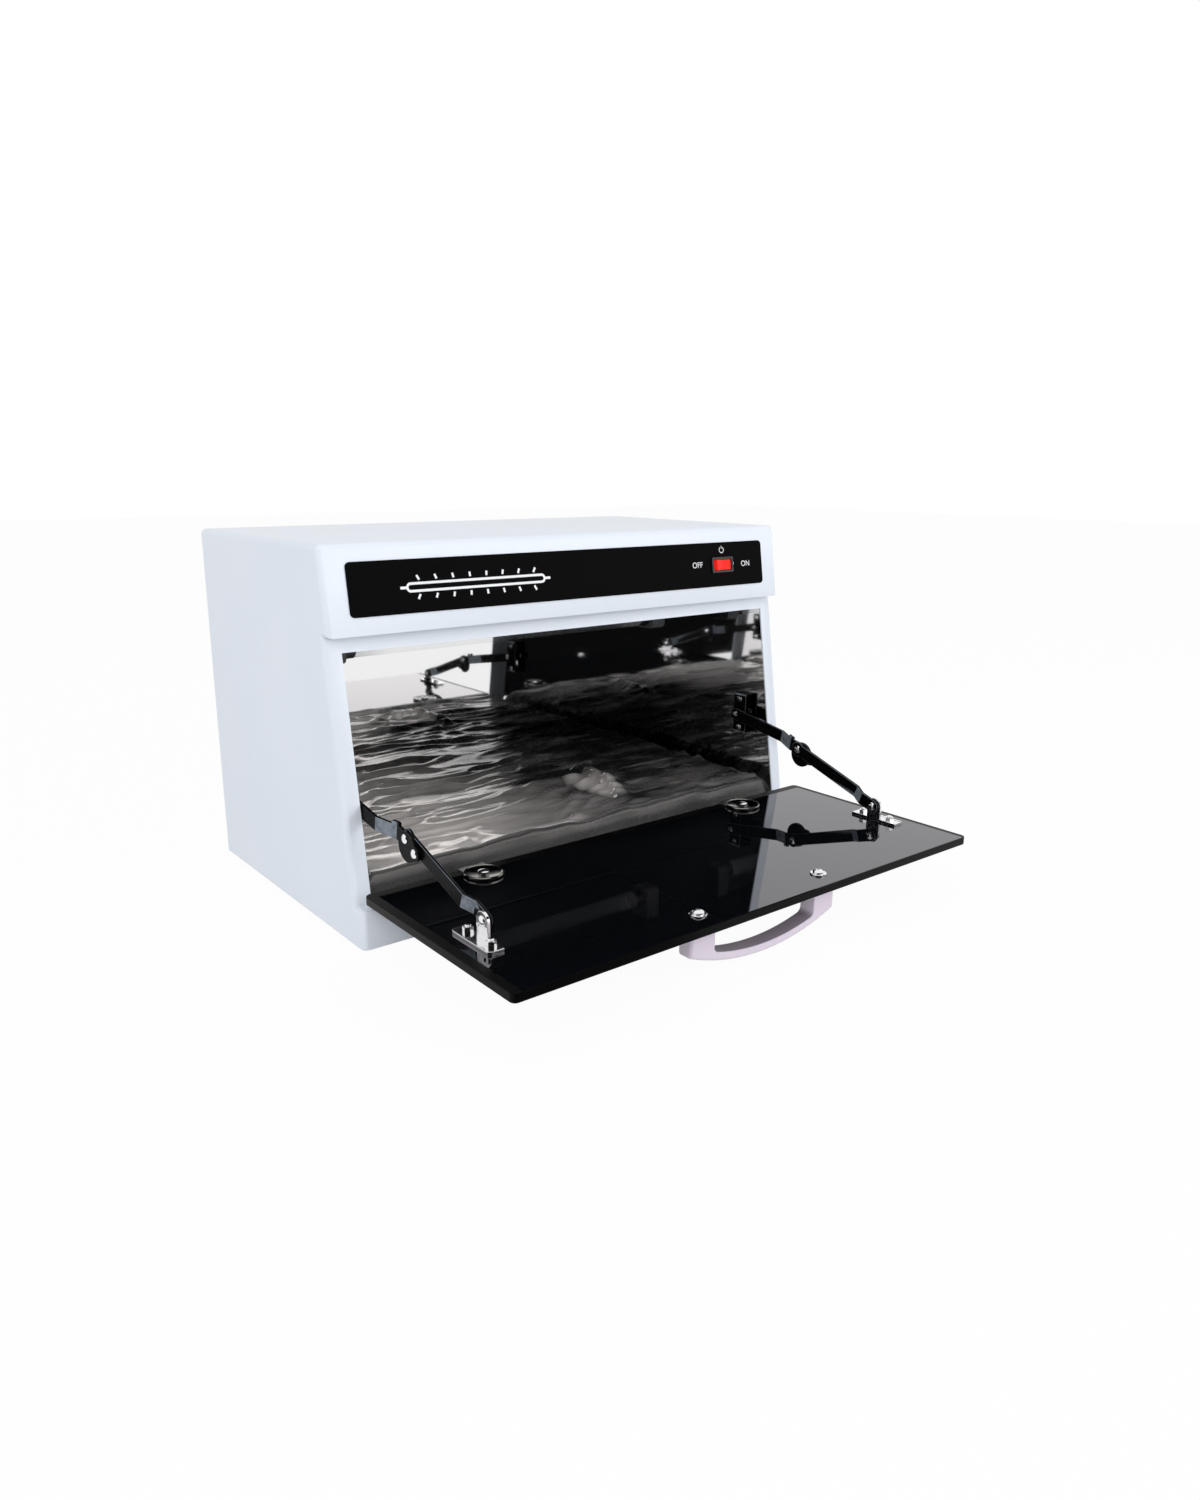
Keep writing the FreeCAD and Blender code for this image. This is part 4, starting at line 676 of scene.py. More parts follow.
class Workshop:
    """Makes the detailed pieces that stand for CAD nodes."""

    def __init__(self, frame: dict[str, object], dresser: Dresser) -> None:
        """Learn which body and slot each node has.

        Args:
            frame: the loaded frame, with its nodes and record.
            dresser: what gives pieces their finish.
        """
        self.frame = frame
        self.dresser = dresser
        self.home = {node: body for body, nodes in frame["record"]["behaviour"]["bodies"].items()
                     for node in nodes}

    def adopt(self, piece: bpy.types.Object, finish: Finish, body: str, nodes: Iterable[str] = (),
              slot: str | None = None) -> bpy.types.Object:
        """Dress a piece, tie it to its body and hide the CAD nodes that it takes the place of.

        Args:
            piece: the piece.
            finish: its finish.
            body: the body that carries it.
            nodes: the CAD nodes that it stands for.
            slot: its material slot, if not the first node's; not used.

        Returns:
            The piece.
        """
        self.dresser.dress(piece, finish)
        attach(piece, body)
        nodes = list(nodes)
        if nodes:
            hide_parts(*nodes)
            slot = slot or self.dresser.slots[nodes[0]]
        LOG.info("made %s on %s, in place of %s", piece.name, body, ", ".join(nodes) or "nothing")
        return piece

    def pick(self, piece: bpy.types.Object) -> None:
        """Select a piece and nothing else.

        Args:
            piece: the piece.
        """
        bpy.ops.object.select_all(action="DESELECT")
        bpy.context.view_layer.objects.active = piece
        piece.select_set(True)

    def link(self, name: str, mesh: bpy.types.Mesh) -> bpy.types.Object:
        """Put a mesh in the scene as an object.

        Args:
            name: the object's name.
            mesh: its mesh.

        Returns:
            The object.
        """
        piece = bpy.data.objects.new(name, mesh)
        bpy.context.scene.collection.objects.link(piece)
        return piece

    def from_bmesh(self, name: str, shape: bmesh.types.BMesh, angle: float = 35.0
                   ) -> bpy.types.Object:
        """Turn a bmesh into an object, shaded smooth up to an angle.

        Args:
            name: the object's name.
            shape: its faces, freed here.
            angle: the angle in degrees.

        Returns:
            The object.
        """
        bmesh.ops.recalc_face_normals(shape, faces=shape.faces)
        mesh = bpy.data.meshes.new(name)
        shape.to_mesh(mesh)
        shape.free()
        piece = self.link(name, mesh)
        self.smooth(piece, angle)
        return piece

    def smooth(self, piece: bpy.types.Object, angle: float) -> None:
        """Shade a piece smooth, but for edges sharper than an angle in degrees.

        Args:
            piece: the piece.
            angle: the angle in degrees.
        """
        self.pick(piece)
        bpy.ops.object.shade_smooth_by_angle(angle=math.radians(angle))

    def apply(self, piece: bpy.types.Object) -> None:
        """Apply every modifier of a piece.

        Args:
            piece: the piece.
        """
        self.pick(piece)
        for modifier in list(piece.modifiers):
            bpy.ops.object.modifier_apply(modifier=modifier.name)

    def cut(self, piece: bpy.types.Object, cutter: bpy.types.Object) -> None:
        """Cut a piece by another, which is used up.

        Args:
            piece: what is cut.
            cutter: what is taken away from it.
        """
        made = piece.modifiers.new("cut", "BOOLEAN")
        made.operation, made.object, made.solver = "DIFFERENCE", cutter, "EXACT"
        self.apply(piece)
        bpy.data.objects.remove(cutter)

    def block(self, name: str, low: Vector, high: Vector) -> bpy.types.Object:
        """A cube primitive set between two corners, with its place in its mesh.

        Args:
            name: the object's name.
            low: its lowest corner.
            high: its highest corner.

        Returns:
            The block.
        """
        bpy.ops.object.select_all(action="DESELECT")
        bpy.ops.mesh.primitive_cube_add(size=1.0, location=(low + high) / 2.0, scale=high - low)
        piece = bpy.context.object
        piece.name = name
        bpy.ops.object.transform_apply(location=True, rotation=True, scale=True)
        return piece

    def bevel_edges(self, piece: bpy.types.Object, chosen: Callable[[Vector, Vector], bool],
                    width: float, segments: int) -> None:
        """Bevel, in edit mode, the edges whose two ends pass a test.

        Args:
            piece: the piece.
            chosen: tells from an edge's two ends whether it counts.
            width: the bevel's width, in metres.
            segments: how many faces it has across.
        """
        self.pick(piece)
        bpy.ops.object.mode_set(mode="EDIT")
        bpy.ops.mesh.select_mode(type="EDGE")
        bpy.ops.mesh.select_all(action="DESELECT")
        shape = bmesh.from_edit_mesh(piece.data)
        for edge in shape.edges:
            edge.select = chosen(edge.verts[0].co, edge.verts[1].co)
        shape.select_flush_mode()
        bmesh.update_edit_mesh(piece.data)
        bpy.ops.mesh.bevel(offset=width, segments=segments, clamp_overlap=True)
        bpy.ops.object.mode_set(mode="OBJECT")

    def bore(self, piece: bpy.types.Object, centre: tuple[float, float], radius: float,
             low: float, high: float) -> None:
        """Cut an upright round hole.

        Args:
            piece: the piece.
            centre: the hole's middle, across and from front to back.
            radius: its radius.
            low: the piece's underside.
            high: the piece's top.
        """
        bpy.ops.object.select_all(action="DESELECT")
        bpy.ops.mesh.primitive_cylinder_add(
            vertices=BORE_SIDES, radius=radius, depth=high - low + BORE_PAST,
            location=(centre[0], centre[1], (low + high) / 2.0))
        self.cut(piece, bpy.context.object)

    def ease(self, node: str, width: float, segments: int = 2, angle: float = 32.0
             ) -> bpy.types.Object:
        """A copy of a CAD node with its hard edges eased, in the node's place.

        Args:
            node: the CAD node's name.
            width: the eased edge's width, in metres.
            segments: how many faces it has across.
            angle: how sharp in degrees an eased edge is.

        Returns:
            The eased piece.
        """
        shape = bmesh.new()
        shape.from_mesh(self.frame["nodes"][node].data)
        bmesh.ops.remove_doubles(shape, verts=shape.verts, dist=MERGE)
        bmesh.ops.dissolve_limit(shape, angle_limit=math.radians(0.2), verts=shape.verts,
                                 edges=shape.edges)
        piece = self.from_bmesh(node + "_eased", shape, angle)
        bevel = piece.modifiers.new("ease", "BEVEL")
        bevel.width, bevel.segments, bevel.limit_method = width, segments, "ANGLE"
        bevel.angle_limit = math.radians(angle)
        bevel.harden_normals = True
        bevel.use_clamp_overlap = True
        self.apply(piece)
        return self.adopt(piece, self.dresser.finish(node), self.home[node], [node])


@dataclass
class GlassDoor:
    """The black glass door: one polished pane with rounded corners, ground arrises and bores."""

    shop: Workshop
    corner: float = 0.004
    arris: float = 0.0005
    cup_bore: float = 0.011
    screw_bore: float = 0.0023

    def build(self) -> bpy.types.Object:
        """Make the pane in the CAD door's place.

        Returns:
            The pane.
        """
        low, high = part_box("door_panel")
        pane = self.shop.block("door_glass", low, high)
        self.shop.bevel_edges(pane, lambda a, b: abs(a.z - b.z) > 0.001, self.corner, 8)
        self.shop.bevel_edges(pane, lambda a, b: abs(a.z - b.z) < 1e-5, self.arris, 1)
        hardware = Hardware(self.shop)
        bores = [(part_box("hinge_cup_" + side), self.cup_bore) for side in SIDES]
        bores += [(body, self.screw_bore) for node in ("handle_washers", "stay_bracket_nuts")
                  for body in hardware.middles(node)]
        for (near, far), radius in bores:
            self.shop.bore(pane, ((near.x + far.x) / 2, (near.y + far.y) / 2), radius,
                           low.z, high.z)
        self.shop.smooth(pane, 28.0)
        return self.shop.adopt(pane, Finish.GLASS, "door", ["door_panel"])


@dataclass
class RoofLip:
    """The folded strip that closes the chamber's roof to the front of the cabinet."""

    shop: Workshop
    depth: float = 0.0018
    half: float = 0.1972
    front: float = 0.0009
    below: float = 0.0008
    top: float = 0.1986

    def build(self) -> bpy.types.Object:
        """Make the strip between the shell's front fold and the roof's front edge.

        Returns:
            The strip.
        """
        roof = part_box("liner_wrap")[1].z
        strip = self.shop.block("roof_lip", Vector((-self.half, self.front, roof - self.below)),
                                Vector((self.half, self.front + self.depth, self.top)))
        self.shop.bevel_edges(strip, lambda a, b: abs(a.x - b.x) > 0.1, 0.0004, 2)
        self.shop.smooth(strip, 40.0)
        return self.shop.adopt(strip, Finish.PAINT, "cabinet", slot="white_paint")


class Head(Enum):
    """How a fastener's head is finished."""

    CROSS = "cross"
    DOME = "dome"
    THREAD = "thread"


@dataclass(frozen=True)
class Stem:
    """A fastener as the CAD has it: where its head ends, which way it looks, and its sizes."""

    tip: Vector
    way: Vector
    head: float
    head_depth: float
    shaft: float
    length: float
    two_heads: bool


FASTENERS: dict[str, tuple[int, Head]] = {
    "back_panel_screws": (1, Head.CROSS), "ballast_screws": (2, Head.CROSS),
    "foot_screws": (2, Head.CROSS), "handle_screws": (2, Head.CROSS),
    "hinge_base_screws": (2, Head.CROSS), "hinge_cup_screws": (2, Head.CROSS),
    "stay_wall_screws": (0, Head.CROSS), "stay_bracket_bolts": (2, Head.THREAD),
    "stay_wall_rivets": (0, Head.DOME),
    **{"%s_%s" % (node, side): (0, Head.DOME) for side in SIDES
       for node in ("stay_door_rivet", "stay_elbow_rivets", "stay_elbow_stud")}}


@dataclass
class Hardware:
    """Turned and hexagonal fasteners, in the places and sizes of the CAD ones.

    The slot's sizes and the nut's bore are shares of the head, and the rest is in metres.
    """

    shop: Workshop
    turned_sides: int = 28
    ring_sides: int = 64
    nut_sides: int = 48
    crown_steps: int = 6
    pitch: float = 0.0007
    thread_share: float = 0.6
    chamfer: float = 0.0005
    slot_reach: float = 1.05
    slot_width: float = 0.24
    slot_depth: float = 1.3
    slot_taper: float = 0.55
    nut_bore: float = 0.55
    washer: Profile = (
        (0.0024, 0.0), (0.0052, 0.0), (0.0055, 0.0002), (0.0055, 0.0007), (0.0052, 0.001),
        (0.0024, 0.001))
    cup: Profile = (
        (0.0023, 0.0), (0.0134, 0.0), (0.0135, 0.0009), (0.0132, 0.0013), (0.01275, 0.0014),
        (0.0123, 0.0013), (0.01195, 0.00095), (0.0115, 0.0008), (0.0023, 0.0008))

    def clusters(self, node: str) -> list[list[Vector]]:
        """The corners of each separate body of a CAD node.

        Args:
            node: the CAD node's name.

        Returns:
            One list of corners for each body.
        """
        shape = bmesh.new()
        shape.from_mesh(self.shop.frame["nodes"][node].data)
        bmesh.ops.remove_doubles(shape, verts=shape.verts, dist=MERGE)
        found: list[list[Vector]] = []
        seen: set[bmesh.types.BMVert] = set()
        for start in shape.verts:
            if start in seen:
                continue
            seen.add(start)
            stack, group = [start], []
            while stack:
                here = stack.pop()
                group.append(here.co.copy())
                for edge in here.link_edges:
                    there = edge.other_vert(here)
                    if there not in seen:
                        seen.add(there)
                        stack.append(there)
            found.append(group)
        shape.free()
        return found

    def stem(self, corners: list[Vector], axis: int) -> Stem:
        """Measure a fastener that stands along an axis.

        Args:
            corners: the fastener's corners.
            axis: 0, 1 or 2, for the frame's x, y or z.

        Returns:
            Its measures.
        """
        low = Vector([min(p[i] for p in corners) for i in range(3)])
        high = Vector([max(p[i] for p in corners) for i in range(3)])
        middle = (low + high) / 2.0
        side = [i for i in range(3) if i != axis]
        rings = [(math.hypot(*(p[i] - middle[i] for i in side)), p[axis]) for p in corners]
        widest = max(r for r, _ in rings)
        above = [t for r, t in rings if r > widest * 0.9 and t > middle[axis]]
        below = [t for r, t in rings if r > widest * 0.9 and t < middle[axis]]
        up = bool(above)
        end = low[axis] if up else high[axis]
        way = Vector([0.0, 0.0, 0.0])
        way[axis] = 1.0 if up else -1.0
        tip = middle.copy()
        tip[axis] = high[axis] if up else low[axis]
        depth = high[axis] - min(above) if up else max(below) - low[axis]
        shaft = max(r for r, t in rings if abs(t - end) < 2e-5)
        both = bool(above and below)
        return Stem(tip, way, widest * 0.98, depth, widest * 0.5 if both else shaft,
                    high[axis] - low[axis], both)

    def lathe(self, name: str, profile: Profile, sides: int, closed: bool = False
              ) -> bpy.types.Object:
        """Spin a profile of radii and heights about the z axis.

        Args:
            name: the piece's name.
            profile: radius and height of each corner, from one end to the other.
            sides: how many sides the turned piece has.
            closed: whether the last corner joins the first, as on a washer.

        Returns:
            The turned piece.
        """
        count = len(profile)
        edges = [(k, k + 1) for k in range(count - 1)] + ([(count - 1, 0)] if closed else [])
        mesh = bpy.data.meshes.new(name)
        mesh.from_pydata([(radius, 0.0, height) for radius, height in profile], edges, [])
        piece = self.shop.link(name, mesh)
        self.shop.pick(piece)
        bpy.ops.object.mode_set(mode="EDIT")
        bpy.ops.mesh.select_all(action="SELECT")
        bpy.ops.mesh.spin(steps=sides, angle=math.tau, center=(0.0, 0.0, 0.0),
                          axis=(0.0, 0.0, 1.0))
        bpy.ops.mesh.select_all(action="SELECT")
        bpy.ops.mesh.remove_doubles(threshold=MERGE)
        bpy.ops.mesh.normals_make_consistent(inside=False)
        bpy.ops.object.mode_set(mode="OBJECT")
        return piece

    def profile(self, stem: Stem, head: Head) -> Profile:
        """The outline of a fastener whose head ends at height 0 and whose shaft goes down.

        Args:
            stem: the fastener's measures.
            head: how it is finished.

        Returns:
            Radius and height of each corner of the outline.
        """
        swell = 72.0 if head is Head.DOME else 60.0
        share = 0.8 if head is Head.DOME else 0.6
        crown = []
        for k in range(self.crown_steps + 1):
            turn = math.radians(swell) * k / self.crown_steps
            crown.append((stem.head * math.sin(turn) / math.sin(math.radians(swell)),
                          -stem.head_depth * share * (1.0 - math.cos(turn))
                          / (1.0 - math.cos(math.radians(swell)))))
        brim = [(stem.head, -stem.head_depth * 0.9), (stem.head * 0.97, -stem.head_depth)]
        if stem.two_heads:
            lower = [(r, -stem.length - z) for r, z in reversed(crown + brim)]
            return crown + brim + [(stem.shaft, -stem.head_depth),
                                   (stem.shaft, stem.head_depth - stem.length)] + lower
        shaft = [(stem.shaft, -stem.head_depth)]
        if head is Head.THREAD:
            turns = int((stem.length - stem.head_depth) * self.thread_share / self.pitch)
            first = stem.length - self.chamfer - turns * self.pitch
            for k in range(turns):
                shaft += [(stem.shaft, -first - k * self.pitch),
                          (stem.shaft * 0.86, -first - (k + 0.5) * self.pitch)]
        shaft += [(stem.shaft, -stem.length + self.chamfer), (stem.shaft * 0.7, -stem.length),
                  (0.0, -stem.length)]
        return crown + brim + shaft

    def cross(self, template: bpy.types.Object, stem: Stem) -> None:
        """Cut a cross recess into a head.

        Args:
            template: the fastener, with its head's top at height 0.
            stem: its measures.
        """
        for turn in (0.0, math.pi / 2):
            shape = bmesh.new()
            made = bmesh.ops.create_cube(shape, size=1.0)["verts"]
            for vert in made:
                taper = 1.0 if vert.co.z > 0 else self.slot_taper
                vert.co = Vector((vert.co.x * stem.head * self.slot_reach * taper,
                                  vert.co.y * stem.head * self.slot_width * taper,
                                  vert.co.z * stem.head_depth * self.slot_depth))
            bmesh.ops.rotate(shape, verts=made, matrix=Matrix.Rotation(turn, 3, "Z"))
            self.shop.cut(template, self.shop.from_bmesh("cross_cutter", shape))

    def place_all(self, node: str, template: bpy.types.Object, places: list[Matrix],
                  angle: float = 30.0, finish: Finish = Finish.CHROME) -> bpy.types.Object:
        """Set copies of a template at places, as one piece that stands for a node.

        Args:
            node: the CAD node's name.
            template: what is copied, and then removed.
            places: where each copy stands.
            angle: up to which angle in degrees faces are shaded smooth.
            finish: the piece's finish.

        Returns:
            The piece.
        """
        shape = bmesh.new()
        for place in places:
            copy = template.data.copy()
            copy.transform(place)
            shape.from_mesh(copy)
            bpy.data.meshes.remove(copy)
        bpy.data.objects.remove(template)
        piece = self.shop.from_bmesh(node + "_turned", shape, angle)
        return self.shop.adopt(piece, finish, self.shop.home[node], [node])

    def fasten(self, node: str, axis: int, head: Head) -> None:
        """Make a node's screws, bolts or rivets.

        Args:
            node: the CAD node's name.
            axis: 0, 1 or 2, for the frame's x, y or z.
            head: how they are finished.
        """
        stems = [self.stem(corners, axis) for corners in self.clusters(node)]
        template = self.lathe(node + "_template", self.profile(stems[0], head),
                              self.turned_sides)
        if head is Head.CROSS:
            self.cross(template, stems[0])
        places = []
        for number, stem in enumerate(stems):
            spin = Matrix.Rotation(0.4 + number * 1.3, 4, "Z")
            turn = stem.way.to_track_quat("Z", "Y").to_matrix().to_4x4()
            places.append(Matrix.Translation(stem.tip) @ turn @ spin)
        self.place_all(node, template, places, 38.0)

    def middles(self, node: str) -> list[tuple[Vector, Vector]]:
        """The low and high corners of each separate body of a node.

        Args:
            node: the CAD node's name.

        Returns:
            Two corners for each body.
        """
        return [(Vector([min(p[i] for p in group) for i in range(3)]),
                 Vector([max(p[i] for p in group) for i in range(3)]))
                for group in self.clusters(node)]

    def rounds(self, node: str, profile: Profile, finish: Finish = Finish.CHROME) -> None:
        """Stand a closed ring, whose heights start at 0, in each body of a node.

        Args:
            node: the CAD node's name.
            profile: radius and height of each corner.
            finish: the rings' finish.
        """
        template = self.lathe(node + "_template", profile, self.ring_sides, closed=True)
        places = [Matrix.Translation(((low.x + high.x) / 2, (low.y + high.y) / 2, low.z))
                  for low, high in self.middles(node)]
        self.place_all(node, template, places, finish=finish)

    def nuts(self, node: str) -> None:
        """Hexagon nuts with chamfered corners, in the places of a node's bodies.

        Args:
            node: the CAD node's name.
        """
        bodies = self.middles(node)
        low, high = bodies[0]
        tall = high.z - low.z
        flat = min((high - low).xy) / 2.0
        sides = self.nut_sides
        shape = bmesh.new()
        rings = []
        for level, inner in ((0.0, True), (0.0, False), (1.0, False), (1.0, True)):
            ring = []
            for k in range(sides):
                turn = math.tau * k / sides
                edge = flat / math.cos((turn + math.pi / 6) % (math.pi / 3) - math.pi / 6)
                drop = (edge - flat) * 0.6
                radius = flat * 0.97 if inner else edge
                height = tall * level + (0.0 if inner else drop * (1.0 - 2.0 * level))
                ring.append(shape.verts.new((radius * math.cos(turn), radius * math.sin(turn),
                                             height)))
            rings.append(ring)
        inside = flat * self.nut_bore
        bore = [[shape.verts.new((inside * math.cos(math.tau * k / sides),
                                  inside * math.sin(math.tau * k / sides), height))
                 for k in range(sides)] for height in (tall * 0.97, tall * 0.03)]
        rings += bore + [rings[0]]
        for first, second in zip(rings, rings[1:]):
            for k in range(sides):
                shape.faces.new((first[k], first[(k + 1) % sides], second[(k + 1) % sides],
                                 second[k]))
        template = self.shop.from_bmesh(node + "_template", shape)
        places = [Matrix.Translation(((a.x + b.x) / 2, (a.y + b.y) / 2, a.z))
                  @ Matrix.Rotation(0.3 + 0.9 * k, 4, "Z") for k, (a, b) in enumerate(bodies)]
        self.place_all(node, template, places)

    def build(self) -> None:
        """Make every fastener, washer, nut and cup."""
        for node, (axis, head) in FASTENERS.items():
            self.fasten(node, axis, head)
        self.nuts("stay_bracket_nuts")
        self.rounds("handle_washers", self.washer)
        for side in SIDES:
            self.rounds("hinge_cup_" + side, self.cup, Finish.CUP)


@dataclass(frozen=True)
class LabelPlane:
    """The leaning front face of the label strip, as a drawing board."""

    lean: float = math.radians(8.5)
    proud: float = 0.00004
    sunk: float = -0.0001
    rise: float = 0.0001

    def place(self) -> Matrix:
        """Turn x, height above the strip's lower edge, and depth into frame coordinates.

        Returns:
            The transform.
        """
        low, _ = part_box("label_strip")
        across = Vector((1.0, 0.0, 0.0))
        up = Vector((0.0, math.sin(self.lean), math.cos(self.lean)))
        out = Vector((0.0, -math.cos(self.lean), math.sin(self.lean)))
        turn = Matrix((across, up, out)).transposed().to_4x4()
        return Matrix.Translation(Vector((0.0, low.y, low.z + self.rise))) @ turn


@dataclass
class Artwork:
    """The generic print on the label: a lamp sign, and the marks of the power switch.

    Places are x and height on the drawing board, in metres.
    """

    shop: Workshop
    plane: LabelPlane
    shape: bmesh.types.BMesh = field(default_factory=bmesh.new)
    stroke: float = 0.0011
    fine: float = 0.0006
    lamp: tuple[float, float, float] = (-0.147, -0.030, 0.0163)
    rays: int = 8
    power: tuple[float, float] = (0.138, 0.0284)
    letter: float = 0.0044
    capital_share: float = 0.7
    words: tuple[tuple[str, float, float], ...] = (("OFF", 0.1058, 0.0155),
                                                   ("ON", 0.1588, 0.0146))
    tick: Profile = ((0.1503, 0.0164), (0.1503, 0.0182))

    def ribbon(self, centre: Iterable[tuple[float, float]], width: float,
               closed: bool = False) -> None:
        """Draw a line of a width through points on the board.

        Args:
            centre: the points.
            width: the line's width.
            closed: whether the last point joins the first.
        """
        points = [Vector((x, z, 0.0)) for x, z in centre]
        count = len(points)
        edges: list[list[bmesh.types.BMVert]] = []
        for k, point in enumerate(points):
            before = points[k - 1] if closed or k > 0 else point
            after = points[(k + 1) % count] if closed or k < count - 1 else point
            along = (after - before).normalized()
            side = Vector((-along.y, along.x, 0.0)) * width / 2
            edges.append([self.shape.verts.new(point + side + Vector((0.0, 0.0, depth)))
                          for depth in (self.plane.proud, self.plane.sunk)]
                         + [self.shape.verts.new(point - side + Vector((0.0, 0.0, depth)))
                            for depth in (self.plane.sunk, self.plane.proud)])
        for k in range(count if closed else count - 1):
            first, second = edges[k], edges[(k + 1) % count]
            for j in range(4):
                self.shape.faces.new((first[j], first[(j + 1) % 4], second[(j + 1) % 4],
                                      second[j]))
        if not closed:
            self.shape.faces.new(edges[0])
            self.shape.faces.new(list(reversed(edges[-1])))

    def arc(self, x: float, z: float, radius: float, start: float, stop: float, steps: int = 24
            ) -> list[tuple[float, float]]:
        """Points along an arc, with angles in degrees.

        Args:
            x: the middle's place across.
            z: the middle's height.
            radius: the arc's radius.
            start: the first angle.
            stop: the last angle.
            steps: how many straight parts it has.

        Returns:
            The points.
        """
        return [(x + radius * math.cos(math.radians(start + (stop - start) * k / steps)),
                 z + radius * math.sin(math.radians(start + (stop - start) * k / steps)))
                for k in range(steps + 1)]

    def lamp_sign(self, left: float, right: float, middle: float) -> None:
        """A lamp tube with its pins, and rays above and below it.

        Args:
            left: where the sign begins.
            right: where it ends.
            middle: its height.
        """
        radius = 0.0024
        tube = (self.arc(left + radius + 0.005, middle, radius, 90.0, 270.0)
                + self.arc(right - radius - 0.005, middle, radius, -90.0, 90.0))
        self.ribbon(tube, self.stroke * 1.5, closed=True)
        for side, sign in ((left, 1.0), (right, -1.0)):
            self.ribbon([(side, middle), (side + sign * 0.0044, middle)], self.stroke * 1.6)
        for k in range(self.rays):
            x = left + 0.014 + (right - left - 0.028) * k / (self.rays - 1)
            slant = (k - (self.rays - 1) / 2) * 0.0005
            for sign in (1.0, -1.0):
                self.ribbon([(x, middle + sign * 0.0046),
                             (x + slant, middle + sign * 0.0076)], self.stroke * 1.4)

    def power_sign(self, x: float, middle: float) -> None:
        """The usual broken ring with a bar.

        Args:
            x: the ring's place across.
            middle: its height.
        """
        self.ribbon(self.arc(x, middle, 0.0023, 125.0, 415.0), self.fine)
        self.ribbon([(x, middle + 0.0008), (x, middle + 0.0031)], self.fine)

    def word(self, text: str, left: float, low: float) -> None:
        """Set a word of the switch's own marking.

        Args:
            text: the word.
            left: where it begins.
            low: its foot's height.
        """
        curve = bpy.data.curves.new("word", "FONT")
        curve.body = text
        curve.size = self.letter / self.capital_share
        curve.extrude = self.plane.proud
        writer = bpy.data.objects.new("word", curve)
        mesh = bpy.data.meshes.new_from_object(writer)
        mesh.transform(Matrix.Translation((left, low, 0.0)))
        self.shape.from_mesh(mesh)
        bpy.data.objects.remove(writer)
        bpy.data.curves.remove(curve)
        bpy.data.meshes.remove(mesh)

    def build(self) -> bpy.types.Object:
        """Print the label.

        Returns:
            The print.
        """
        self.lamp_sign(*self.lamp)
        self.power_sign(*self.power)
        for text, left, low in self.words:
            self.word(text, left, low)
        self.ribbon(self.tick, 0.0007)
        self.shape.transform(self.plane.place())
        piece = self.shop.from_bmesh("label_print", self.shape, 30.0)
        return self.shop.adopt(piece, Finish.ART, "cabinet", slot="black_label")


